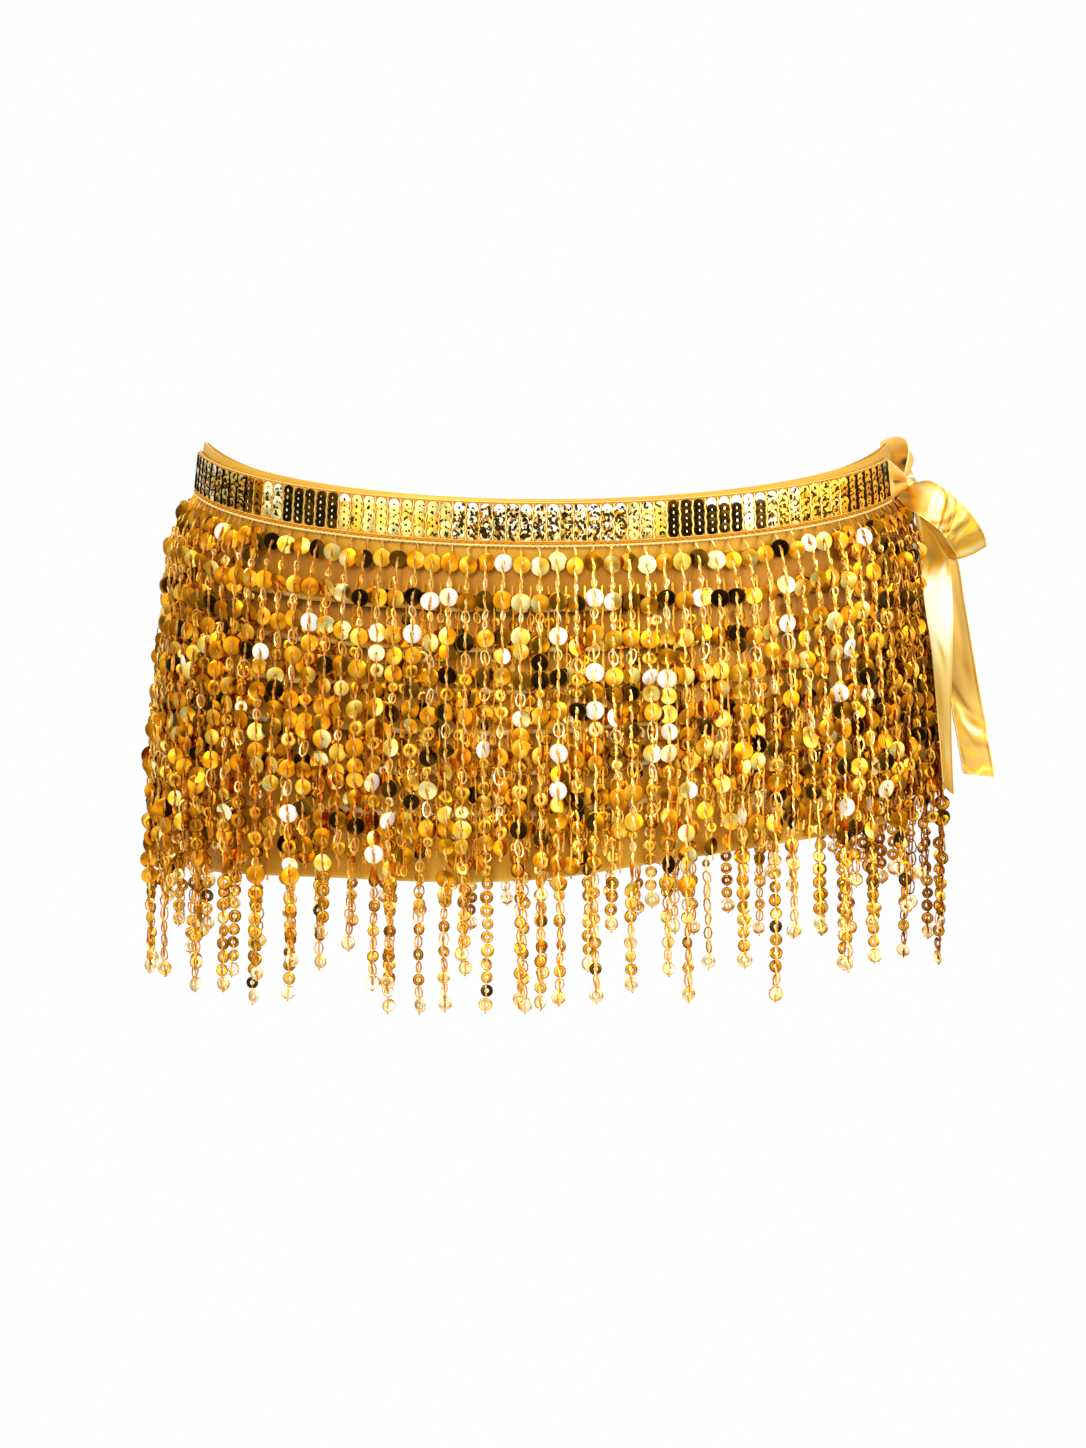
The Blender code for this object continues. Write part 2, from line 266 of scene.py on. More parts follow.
def make_object(name, points, faces, material, colours, sharp=40.0, pale=None):
    """An object from points, arrays of faces and the points' colours.

    Faces of pale colours get a second material, if there is one.
    """
    arrays = [np.asarray(part, np.int32) for part in faces if len(part)]
    sizes = np.concatenate([np.full(len(part), part.shape[1], np.int32) for part in arrays])
    starts = np.concatenate(([0], np.cumsum(sizes)[:-1])).astype(np.int32)
    corners = np.concatenate([part.ravel() for part in arrays])
    mesh = bpy.data.meshes.new(name)
    mesh.vertices.add(len(points))
    mesh.vertices.foreach_set("co", np.asarray(points, np.float32).ravel())
    mesh.loops.add(len(corners))
    mesh.loops.foreach_set("vertex_index", corners)
    mesh.polygons.add(len(sizes))
    mesh.polygons.foreach_set("loop_start", starts)
    mesh.update(calc_edges=True)
    mesh.validate()
    mesh.shade_smooth()
    mesh.set_sharp_from_angle(angle=math.radians(sharp))
    rgba = np.ones((len(points), 4), np.float32)
    rgba[:, :3] = colours
    mesh.color_attributes.new("tone", "FLOAT_COLOR", "POINT").data.foreach_set("color", rgba.ravel())
    item = bpy.data.objects.new(name, mesh)
    bpy.context.scene.collection.objects.link(item)
    mesh.materials.append(material)
    if pale is not None:
        mesh.materials.append(pale)
        bluest = np.maximum.reduceat(np.asarray(colours)[:, 2][corners], starts)
        if len(mesh.polygons) == len(sizes):
            mesh.polygons.foreach_set("material_index", (bluest > PALE_BLUE).astype(np.int32))
    return item


def grid_faces(rows, columns, closed=False, start=0):
    """Quads of a grid of points whose rows are complete, closed across the columns if asked."""
    last = columns if closed else columns - 1
    row, column = np.meshgrid(np.arange(rows - 1) * columns, np.arange(last), indexing="ij")
    after = (column + 1) % columns
    quads = np.stack([row + column, row + after, row + columns + after, row + columns + column], -1)
    return quads.reshape(-1, 4) + start


def sheet_normals(points):
    down = np.gradient(points, axis=0)
    across = np.gradient(points, axis=1)
    return unit_vector(np.cross(down, across))


def shell(name, points, thickness, material, side=0.0, tone=2.0, rows_of_colour=SATINS):
    """A thin closed sheet on a grid of points. Side 1 thickens it along the normals, -1 against."""
    rows, columns = points.shape[:2]
    normal = sheet_normals(points)
    front = points + normal * thickness * (0.5 + 0.5 * side)
    back = points - normal * thickness * (0.5 - 0.5 * side)
    count = rows * columns
    index = np.arange(count).reshape(rows, columns)
    rim = np.concatenate([index[0, :-1], index[:-1, -1], index[-1, :0:-1], index[:0:-1, 0]])
    after = np.roll(rim, -1)
    walls = np.stack([rim, after, after + count, rim + count], -1)
    top = grid_faces(rows, columns)
    under = grid_faces(rows, columns, start=count)[:, ::-1]
    both = np.concatenate([front.reshape(-1, 3), back.reshape(-1, 3)])
    tone = np.broadcast_to(tone, (rows, columns)).ravel()
    colours = palette(np.concatenate([tone, tone]), rows_of_colour)
    return make_object(name, both, [top[:, ::-1], under[:, ::-1], walls[:, ::-1]], material, colours, 60.0)


# Added to the way out of the hips, so that no tube runs along it
TUBE_LEAN = np.array((0.13, 0.07, 0.0))


def tubes(paths, radius, sides):
    """Points and faces of tubes along many paths of the same length: an array of strands, steps, 3."""
    along = unit_vector(np.gradient(paths, axis=1))
    away = unit_vector(paths * np.array([1.0, 1.6, 0.0]) + 1e-9)
    side = unit_vector(np.cross(along, TUBE_LEAN + away))
    over = np.cross(side, along)
    radius = np.broadcast_to(np.asarray(radius, float), paths.shape[:2])
    angles = np.arange(sides) * math.tau / sides
    ring = side[:, :, None] * np.cos(angles)[:, None] + over[:, :, None] * np.sin(angles)[:, None]
    points = paths[:, :, None] + ring * radius[:, :, None, None]
    strands, steps = paths.shape[:2]
    starts = (np.arange(strands) * steps * sides)[:, None]
    faces = (grid_faces(steps, sides, closed=True) + starts[..., None]).reshape(-1, 4)
    first = starts + np.arange(sides)
    last = starts + (steps - 1) * sides + np.arange(sides)[::-1]
    return points.reshape(-1, 3), [faces[:, ::-1], first, last]


def disc_unit(segments, radius, hole, thickness, bevel=0.0, fold=0.0):
    """A sequin that faces +y with its up along +z: its points, its faces and the half that each point is on.

    A folded one is two halves that lean back from the upright middle line.
    """
    rings = [(hole, 0.0)]
    if fold:
        rings.append((hole * 1.9, 0.0))
    if bevel:
        rings.append((radius - bevel, 0.0))
    rings += [(radius, -0.6 * thickness if bevel else 0.0), (radius, -thickness)]
    arcs = [np.arange(segments) * math.tau / segments]
    if fold:
        half = np.linspace(0.0, math.pi, segments // 2 + 1)
        arcs = [math.pi + half, half]
    points = [
        (ring * math.sin(angle), depth - fold * abs(ring * math.sin(angle)), ring * math.cos(angle))
        for arc in arcs
        for ring, depth in rings
        for angle in arc
    ]
    size = len(points) // len(arcs)
    one = grid_faces(len(rings), len(arcs[0]), closed=not fold)
    faces = np.concatenate([one + size * number for number in range(len(arcs))])
    return np.array(points), faces, np.repeat(np.arange(len(arcs)), size)


def facing(normal, yaw=0.0, pitch=0.0, roll=0.0):
    """Axes (across, out, up) of things that face level normals, turned by angles in degrees."""
    count = len(normal)
    up = np.tile((0.0, 0.0, 1.0), (count, 1))
    across = np.cross(up, normal)

    def spin(first, second, degrees):
        angle = np.radians(np.broadcast_to(degrees, count))[:, None]
        return first * np.cos(angle) + second * np.sin(angle), second * np.cos(angle) - first * np.sin(angle)

    out, across = spin(normal, across, yaw)
    out, up = spin(out, up, pitch)
    across, up = spin(across, up, roll)
    return np.stack([across, out, up], axis=1)


def copies(unit, centres, axes, scale=1.0):
    """Points and faces of a unit set at many centres."""
    points, faces = unit[:2]
    scale = np.broadcast_to(np.asarray(scale, float), len(centres))
    placed = np.einsum("vk,nkj->nvj", points, axes) * scale[:, None, None] + centres[:, None]
    shift = (np.arange(len(centres)) * len(points))[:, None, None]
    return placed.reshape(-1, 3), (faces[None] + shift).reshape(-1, 4)


def toned_copies(unit, centres, axes, tones, scale=1.0):
    """Copies of a unit with a tone for each, as a set for join_sets."""
    points, faces = copies(unit, centres, axes, scale)
    return points, [faces], np.repeat(palette(tones), len(unit[0]), axis=0)


# Materials

SATIN_SHEEN = {
    "Sheen Weight": 0.06,
    "Sheen Roughness": 0.4,
    "Sheen Tint": (1.0, 0.75, 0.3, 1.0),
    "Specular IOR Level": 0.35,
    "Specular Tint": (1.0, 0.85, 0.55, 1.0),
}


def plug(tree, node, inputs):
    """Links the inputs that are given a socket, and sets the others."""
    for key, value in inputs.items():
        if isinstance(value, bpy.types.NodeSocket):
            tree.links.new(value, node.inputs[key])
        else:
            node.inputs[key].default_value = value


def add_node(tree, kind, output, inputs=None, **settings):
    """Adds a node and gives its named output."""
    node = tree.nodes.new(f"ShaderNode{kind}")
    for key, value in settings.items():
        setattr(node, key, value)
    plug(tree, node, inputs or {})
    return node.outputs[output]


def new_material(name):
    """A material, its nodes, its shader, the place on the object and the mesh's own tone."""
    material = bpy.data.materials.new(name)
    material.use_nodes = True
    tree = material.node_tree
    place = add_node(tree, "TexCoord", "Object")
    tone = add_node(tree, "Attribute", "Color", attribute_name="tone")
    return material, tree, tree.nodes["Principled BSDF"], place, tone


def metal(name, roughness, metallic=1.0):
    """Metallized film or thread in the mesh's own tone, its coating worn and smeared in patches."""
    material, tree, shader, place, tone = new_material(name)
    wear = add_node(tree, "TexNoise", "Fac", {"Vector": place, "Scale": 420.0, "Detail": 2.0})
    reach = {"Value": wear, "To Min": roughness * 0.6, "To Max": roughness * 1.4}
    rough = add_node(tree, "MapRange", "Result", reach)
    plug(tree, shader, {"Base Color": tone, "Metallic": metallic, "Roughness": rough})
    return material


def satin(name, shade, roughness, metallic=0.25):
    """Woven satin: the mesh's own tone, deepened in soft patches, with a sheen and a fine weave."""
    material, tree, shader, place, tone = new_material(name)
    patches = add_node(tree, "TexNoise", "Fac", {"Vector": place, "Scale": 55.0, "Detail": 3.0})
    ends = {"Factor": patches, "A": (*shade, 1.0), "B": (1.0, 1.0, 1.0, 1.0)}
    blend = add_node(tree, "Mix", "Result", ends, data_type="RGBA")
    both = {"Factor": 1.0, "A": blend, "B": tone}
    toned = add_node(tree, "Mix", "Result", both, data_type="RGBA", blend_type="MULTIPLY")
    weave = add_node(tree, "TexNoise", "Fac", {"Vector": place, "Scale": 2600.0})
    bump = add_node(tree, "Bump", "Normal", {"Height": weave, "Distance": 0.00006, "Strength": 0.5})
    looks = {"Base Color": toned, "Normal": bump, "Roughness": roughness, "Metallic": metallic}
    plug(tree, shader, {**looks, **SATIN_SHEEN})
    return material


# Cloth

# Creases of the wrap. Down is a share of the cloth's height, height half a crease's height as such a share,
# and reach half its length in degrees
WRAP_CREASES = table(
    "turn down reach height slant depth",
    (-262.0, 0.60, 9.0, 0.10, 0.30, 0.0007),
    (-238.0, 0.93, 7.0, 0.05, -0.20, 0.0005),
    (-214.0, 0.96, 11.0, 0.04, 0.10, 0.0006),
    (-185.0, 0.92, 8.0, 0.06, 0.25, 0.0005),
    (-158.0, 0.95, 12.0, 0.05, -0.15, 0.0006),
    (-121.0, 0.94, 6.0, 0.07, 0.35, 0.0007),
    (-97.0, 0.96, 9.0, 0.05, -0.30, 0.0005),
    (-71.0, 0.95, 12.0, 0.05, 0.20, 0.0007),
    (-49.0, 0.97, 7.0, 0.04, -0.10, 0.0005),
    (-22.0, 0.95, 10.0, 0.06, 0.30, 0.0006),
    (6.0, 0.97, 6.0, 0.04, -0.25, 0.0004),
    (27.0, 0.94, 9.0, 0.05, 0.15, 0.0006),
    (55.0, 0.96, 8.0, 0.06, -0.35, 0.0007),
    (77.0, 0.55, 4.0, 0.20, 0.60, 0.0008),
)


def creased(turn, down):
    """How far the wrap's creases push it out at each place."""
    push = np.zeros_like(turn)
    for crease in WRAP_CREASES:
        along = (turn - crease.turn) / crease.reach
        over = (down - crease.down - crease.slant * 0.1 * along) / crease.height
        push += crease.depth * bell(along) * bell(over)
    return push


def make_wrap(material):
    """The wrap, its top edge folded over and its hem turned up and stitched."""
    across = np.linspace(BACK_EDGE, FRONT_EDGE, 210)
    down = [np.linspace(0.0, 0.03, 5), np.linspace(0.06, 0.94, 14), np.linspace(0.955, 1.0, 6)]
    turn, share = np.meshgrid(across, np.concatenate(down))
    z = mix(top_z(turn), hem_z(turn), share)
    fall = (top_z(turn) - hem_z(turn)) * share
    rise = fall[-1] - fall
    hem_fold = 0.00035 * bell((rise - 0.0012) / 0.0012)
    lip = -0.0005 * bell(fall / 0.0009)
    out = -0.0002 + hem_fold + lip + np.minimum(creased(turn, share), 0.0008) * 0.6
    points = on_hips(turn, z, out)
    # Lighter near the top edge, with a painted highlight along the hem's fold
    tone = 2.6 + 0.6 * bell(fall / 0.02) + 1.2 * bell(rise / 0.0012)
    return shell("wrap", points, 0.0008, material, side=-1.0, tone=tone)


# Waves of the tiers' hems. Reach is half a wave's length in degrees
TIER_WAVES = table(
    "turn reach push",
    (-258.0, 5.0, 0.0007),
    (-243.0, 8.0, -0.0005),
    (-221.0, 6.0, 0.0006),
    (-200.0, 9.0, -0.0004),
    (-176.0, 5.0, 0.0008),
    (-160.0, 7.0, -0.0005),
    (-137.0, 6.0, 0.0006),
    (-118.0, 4.0, -0.0006),
    (-99.0, 6.0, 0.0007),
    (-84.0, 4.0, -0.0004),
    (-68.0, 5.0, 0.0008),
    (-55.0, 6.0, -0.0006),
    (-39.0, 4.0, 0.0005),
    (-27.0, 6.0, 0.0007),
    (-12.0, 5.0, -0.0006),
    (3.0, 4.0, 0.0008),
    (16.0, 6.0, -0.0004),
    (31.0, 5.0, 0.0006),
    (44.0, 4.0, -0.0005),
    (59.0, 6.0, 0.0007),
    (72.0, 4.0, -0.0005),
)
TIER_SHIFTS = (0.0, 7.0, -5.0, 11.0, -9.0, 4.0)


def make_tier(tier, material):
    """A tier's flap: sewn flat at its top, waved and rolled at its hem."""
    across = np.linspace(BACK_EDGE, FRONT_EDGE, 180)
    down = np.concatenate([np.linspace(0.0, 0.84, 8), np.linspace(0.90, 1.0, 5)])
    turn, share = np.meshgrid(across, down)
    z = fall_z(turn, tier_hem(tier) - TIER_FALL * (1.0 - share))
    wave = np.zeros_like(turn)
    for item in TIER_WAVES:
        wave += item.push * bell((turn - item.turn - TIER_SHIFTS[tier]) / item.reach)
    ripple = 0.00022 * np.sin(np.radians(turn) * (47.0 + 3.0 * tier) + 1.7 * tier)
    rise = z - z[-1]
    roll = 0.0005 * bell((rise - 0.0011) / 0.0010) - 0.0003 * bell(rise / 0.0004)
    out = SEAM_GAP + TIER_STAND * share**1.5 + (wave + ripple) * share**2 + roll
    points = on_hips(turn, z + 0.0004 * np.sin(np.radians(turn) * 29.0 + tier) * share**3, out)
    # Painted highlight along the rolled hem, broken up along it by lit
    lit = 0.55 + 0.45 * np.sin(np.radians(turn) * 17.0 + 2.3 * tier) * np.sin(np.radians(turn) * 41.0 + tier)
    painted_hem_highlight = 3.0 * (0.35 + 0.65 * lit) * bell((rise - 0.0007) / 0.0010)
    # Lower tiers painted lighter, against the shade of the flaring strands; each flap also lighter towards
    # its hem
    tone = 1.25 + 0.22 * tier + 0.5 * share + painted_hem_highlight
    # Painted shadow just below the hem of the tier above, or below the band for the first tier
    drop = fall_z(turn, tier_hem(tier - 1)) - z if tier else band_bottom_z(turn) - z
    tone -= (1.5 if tier else 0.8) * bell((drop - 0.0006) / 0.0020)
    return shell(f"tier_{tier + 1}_cloth", points, 0.0006, material, side=1.0, tone=tone)


# Band

# Tones of the band's columns, in part painted reflections, over stretches from a turn to a turn: the tone,
# its change from column to column, and how much of it painted dark reflections cut up
BAND_STRETCHES = table(
    "start end tone change mottle",
    (-258.0, -236.0, GOLD, 1.2, 0.15),
    (-236.0, -214.0, PALE, 0.5, 0.10),
    (-214.0, -203.0, OLIVE, 0.9, 0.10),
    (-203.0, -176.0, PALE, 0.5, 0.45),
    (-176.0, -166.0, BLACK, 0.4, 0.0),
    (-166.0, -141.0, YELLOW, 0.9, 0.10),
    (-141.0, -118.0, PALE, 0.6, 0.25),
    (-118.0, -104.0, AMBER, 1.6, 0.20),
    (-104.0, -78.0, 3.6, 5.0, 0.0),
    (-78.0, -62.0, 5.6, 0.8, 0.60),
    (-62.0, -57.0, 4.6, 0.8, 0.80),
    (-57.0, -51.0, 1.4, 0.9, 0.40),
    (-51.0, -46.8, 5.7, 0.4, 0.30),
    (-46.8, -35.2, BLACK, 0.3, 0.0),
    (-35.2, -24.0, 5.3, 0.4, 0.08),
    (-24.0, -14.0, 5.2, 0.4, 0.20),
    (-14.0, 12.0, 6.0, 0.5, 1.0),
    (12.0, 20.0, 5.2, 0.5, 0.25),
    (20.0, 32.0, BLACK, 0.3, 0.0),
    (32.0, 34.0, 6.6, 0.4, 0.05),
    (34.0, 37.0, BLACK, 0.4, 0.0),
    (37.0, 43.0, 5.3, 0.8, 0.75),
    (43.0, 53.0, 4.7, 1.0, 0.60),
    (53.0, 75.0, 3.5, 0.8, 0.25),
)
# Turns between which the band's top row is white, a painted glint
BAND_GLINT = (25.0, 37.0)
THREAD_RADIUS = 0.00040
BAND_ROWS = 5
BAND_COLUMNS = 136
BAND_SEQUIN = 0.0026
BAND_PITCH = 0.00298
BAND_FIRST = 0.0034
TAPE_THICKNESS = 0.0008
TAPE_FACE = SEAM_GAP + TAPE_THICKNESS

# The braids, by their fall below the band's top edge. Cords are (shift, radius, tone, depth of scallops), and
# the zigzag lies lift above the braid's middle
BRAIDS = table(
    "name fall cords lift swing",
    ("braid_top", 0.0006, ((-0.00045, 0.00028, 5.6, 0.0), (0.00050, 0.00030, 5.3, 0.0)), 0.0, 0.0004),
    (
        "braid_bottom",
        BAND_HEIGHT - 0.0014,
        ((-0.0012, 0.00026, 4.9, 0.0), (0.00080, 0.00060, 5.8, 0.00028)),
        0.0003,
        0.0008,
    ),
)
BRAID_STEPS = 760


def make_band(tape_material, sequin_materials, thread_material):
    """The tape, its columns of sequins with the sewing threads between them, and the two braids."""
    turn, share = np.meshgrid(np.linspace(BAND_BACK_END, BAND_FRONT_END, 260), np.linspace(0.0, 1.0, 7))
    z = band_top_z(turn) - BAND_HEIGHT * share
    out = SEAM_GAP + 0.0001 * np.sin(np.radians(turn) * 61.0)
    made = [shell("band_tape", on_hips(turn, z, out), TAPE_THICKNESS, tape_material, side=1.0)]

    columns = BAND_COLUMNS
    edges, _ = even_turns(columns * 2 + 1, BAND_BACK_END + 1.0, BAND_FRONT_END - 1.2)
    turns = edges[1::2]
    tones = np.zeros(columns)
    mottle = np.zeros(columns)
    for stretch in BAND_STRETCHES:
        inside = (turns >= stretch.start) & (turns < stretch.end)
        tones[inside] = stretch.tone + stretch.change * spread(-0.6, 0.9, inside.sum())
        mottle[inside] = stretch.mottle
    unit = disc_unit(14, BAND_SEQUIN, 0.00042, 0.00020, bevel=0.0009)
    dot = disc_unit(6, 0.00056, 0.0, 0.00005)
    sets = []
    for row in range(BAND_ROWS):
        z = band_top_z(turns) - BAND_FIRST - BAND_PITCH * row + scatter(0.0, 0.00012, columns)
        out = TAPE_FACE + 0.0006 + spread(0.0, 0.0001, columns)
        centre = on_hips(turns, z, out)
        normal = level_normal(turns, z)[0]
        axes = facing(normal, scatter(0.0, 4.0, columns), -3.0)
        tone = tones + scatter(0.0, 0.3, columns)
        # Painted highlight: the top row is lighter, the more so on the most mirrored columns
        if row == 0:
            tone = np.where(tones > OLIVE, tone + 0.6 + 0.6 * (mottle > 0.9), tone)
            tone = np.where((turns > BAND_GLINT[0]) & (turns < BAND_GLINT[1]), WHITE, tone)
        sets.append(toned_copies(unit, centre, axes, tone))
        # Painted dark reflections, and a few painted white glints, cut the mirror sequins up
        for _ in range(14):
            cut = np.flatnonzero(chance(columns) < mottle * (0.25 if row == 0 else 0.85))
            number = len(cut)
            aside = spread(-0.0021, 0.0021, number)[:, None] * axes[cut, 0]
            above = spread(-0.0015, 0.0015, number)[:, None] * axes[cut, 2]
            spin = facing(normal[cut], roll=spread(-60.0, 60.0, number))
            shape = np.stack([np.full(number, 0.75), np.ones(number), spread(0.5, 1.9, number)], -1)
            place = centre[cut] + aside + above + normal[cut] * 0.00032
            mirrored = mottle[cut] > 0.9
            size = np.where(mirrored, 1.35, 1.0) * spread(0.7, 1.5, number)
            tone = np.where(chance(number) < 0.78, spread(0.0, 0.8, number), 3.0)
            white_glint = (chance(number) < 0.12) & mirrored
            tone = np.where(white_glint, WHITE, tone)
            sets.append(toned_copies(dot, place, spin * shape[..., None], tone, size))
        # Each sequin's hole and stitch
        upright = facing(normal, roll=scatter(0.0, 14.0, columns)) * np.array([0.72, 1.0, 1.3])[:, None]
        size = spread(0.75, 1.3, columns)
        tone = np.where(tones < BROWN, PALE, BLACK) + spread(-0.3, 0.6, columns)
        sets.append(toned_copies(dot, centre + normal * 0.0003, upright, tone, size))

    # Between the columns: wavy sewing threads, or over the hips thicker dark ones, like edges of sequins
    steps = 14
    fall = np.linspace(0.0009, BAND_HEIGHT - 0.0030, steps)
    gaps, _ = even_turns(columns + 1, BAND_BACK_END + 1.0, BAND_FRONT_END - 1.2)
    path_turn = np.broadcast_to(gaps[:, None], (columns + 1, steps))
    sway = 0.10 * np.sin(np.arange(steps) * 1.57)
    paths = on_hips(path_turn + sway, band_top_z(path_turn) - fall, SEAM_GAP + 0.0013)
    dark = np.abs(sine(gaps)) > 0.83
    points, faces = tubes(paths[dark], 0.00080, 3)
    sets.append((points, [faces[0]], 0.0))
    made.append(join_sets("band_sequins", sets, sequin_materials[0], 30.0, sequin_materials[1]))
    points, faces = tubes(paths[~dark], THREAD_RADIUS, 3)
    tone = 5.3 + 0.5 * np.sin(np.arange(len(points)) // 3 * 1.7)
    made.append(join_sets("band_stitches", [(points, faces, palette(tone))], thread_material))
    return made + [make_braid(braid, thread_material) for braid in BRAIDS]


def make_braid(braid, material):
    """Two cords with a zigzag between them, run along the band."""
    turns, length = even_turns(BRAID_STEPS, BAND_BACK_END + 0.1, BAND_FRONT_END - 0.1)
    along = np.linspace(0.0, length, BRAID_STEPS)
    bead = 0.5 - 0.5 * np.cos(along / 0.0023 * math.tau)
    sets = []
    for shift, radius, tone, scallop in braid.cords:
        z = band_top_z(turns) - braid.fall - shift - scallop * bead
        path = on_hips(turns, z, TAPE_FACE + radius * 0.9)[None]
        points, faces = tubes(path, (radius * (0.72 + 0.36 * bead))[None], 4)
        sets.append((points, faces, tone))
    zigzag = np.abs((along / 0.0034 * 2.0) % 2.0 - 1.0) * 2.0 - 1.0
    z = band_top_z(turns) - braid.fall + braid.lift + zigzag * braid.swing
    points, faces = tubes(on_hips(turns, z, TAPE_FACE + 0.0008)[None], 0.00034, 3)
    sets.append((points, faces, 3.1))
    return join_sets(braid.name, sets, material)


def join_sets(name, sets, material, sharp=40.0, pale=None):
    """One object from sets of points, lists of face arrays and a tone or colours."""
    start = 0
    points = []
    faces = []
    colours = []
    for part, part_faces, tone in sets:
        points.append(part)
        faces.extend(array + start for array in part_faces)
        if np.ndim(tone) == 0:
            tone = np.tile(palette(np.array(float(tone))), (len(part), 1))
        colours.append(tone)
        start += len(part)
    merged = {}
    for array in faces:
        merged.setdefault(array.shape[1], []).append(array)
    faces = [np.concatenate(arrays) for arrays in merged.values()]
    return make_object(name, np.concatenate(points), faces, material, np.concatenate(colours), sharp, pale)


# Strands

UPPER_STRANDS = 109
# How far to either side the lowest layer's ends are placed by the photo
LOW_REACH = 0.178
PITCH = 0.0172
FIRST_DROP = 0.0078
LARGE = 0.00445
SMALL = 0.0030
THREAD_WEAVE = 0.0007

# Free ends across the front in the photo's view, as millimetres from the middle and below the origin
FRONT_ENDS = (
    (-193, 203), (-184, 228), (-175, 226), (-168, 233), (-158, 221), (-150, 224),
    (-145, 230), (-140, 236), (-134, 224), (-123, 233), (-120, 217), (-109, 218),
    (-102, 203), (-94, 209), (-79, 226), (-75, 237), (-69, 226), (-61, 237),
    (-50, 235), (-39, 219), (-34, 212), (-29, 236), (-16, 233), (-11, 236),
    (-5, 234), (-3, 221), (7, 232), (19, 217), (25, 231), (31, 199),
    (43, 226), (49, 188), (54, 219), (60, 200), (66, 231), (76, 217),
    (86, 216), (94, 199), (101, 232), (107, 176), (116, 203), (130, 201),
    (134, 220), (141, 220), (148, 201), (156, 218), (161, 177), (172, 197),
    (180, 232), (187, 224), (194, 206),
)
BACK_CUTS = (0.004, 0.030, 0.014, 0.044, 0.002, 0.022, 0.036, 0.010, 0.052, 0.018, 0.006, 0.040, 0.026)

# Painted gleams and painted dark reflections on the front's upper layer, listed as (strand from the middle,
# row)
PAINTED_GLEAMS = {
    WHITE: (
        (-6, 2), (3, 2), (-13, 3), (-7, 3), (14, 3), (6, 4), (-16, 4), (3, 5), (17, 5),
        (-22, 5), (-3, 6), (1, 6), (-14, 8), (-8, 8), (1, 7), (9, 8), (11, 8), (17, 8),
        (18, 8), (-9, 9), (20, 1),
    ),
    PALE: (
        (10, 1), (1, 1), (-11, 2), (14, 2),
    ),
    OLIVE: (
        (-8, 1), (9, 1), (-21, 3), (-15, 6), (14, 8), (-3, 2), (5, 2), (-1, 4),
    ),
    BLACK: (
        (-16, 1), (-20, 3), (-15, 5), (-6, 6), (-25, 5), (11, 3), (-5, 4),
    ),
}


def flare(turn):
    return mix(FRONT_FLARE, 1.0, sine(turn) ** 2)


class Strands:
    """Strands of one layer. Turns and ends are arrays with a value for each strand."""

    def __init__(self, turns, root_z, end_z, heights, stand, shift=0.0, side=0.0):
        self.turns = np.asarray(turns, float)
        self.side = side
        self.root_z = root_z
        self.length = root_z - end_z
        self.heights = heights
        self.stand = stand
        self.shift = np.broadcast_to(np.asarray(shift, float), self.turns.shape)
        self.phase = spread(0.0, math.tau, len(self.turns))

    def place(self, index, fall):
        """The turn, height and stand of points at falls along strands, by arrays of the same shape."""
        length = self.length[index]
        share = np.clip(fall / length, 0.0, 1.0)
        sway = 0.22 * np.sin(fall * 60.0 + self.phase[index]) * share
        sway = sway + 0.06 * np.sin(fall * 400.0 + self.phase[index] * 3.0) * np.clip(fall / 0.03, 0.0, 1.0)
        turn = self.turns[index] + self.shift[index] * share**1.3 + sway
        out = self.stand + curve(FLARE_FALL, self.heights, fall) * flare(self.turns[index])
        out = out + self.side * sine(self.turns[index]) ** 4 * np.clip(fall / 0.05, 0.0, 1.0)
        return turn, self.root_z[index] - fall, out

    def at(self, index, fall, ahead=0.0):
        turn, z, out = self.place(index, fall)
        return on_hips(turn, z, out + ahead), level_normal(turn, z)[0]


def random_tones(count, weights):
    """Tones drawn by the weights of the palette's rows, with a little spread."""
    weights = np.asarray(weights, float)
    picked = RANDOM.choice(len(weights), count, p=weights / weights.sum())
    return picked + spread(-0.35, 0.35, count)


# Shares of the palette's rows for the paillettes. The black, olive and white shares are painted reflections
# of a darker and a brighter room; the deeper shares of the layers behind are painted shade
LARGE_WEIGHTS = (0.06, 0.05, 0.10, 0.27, 0.29, 0.15, 0.06, 0.02)
SHADED_WEIGHTS = (0.09, 0.06, 0.28, 0.36, 0.17, 0.04, 0.00, 0.00)
SMALL_WEIGHTS = (0.02, 0.05, 0.22, 0.36, 0.25, 0.09, 0.01, 0.00)


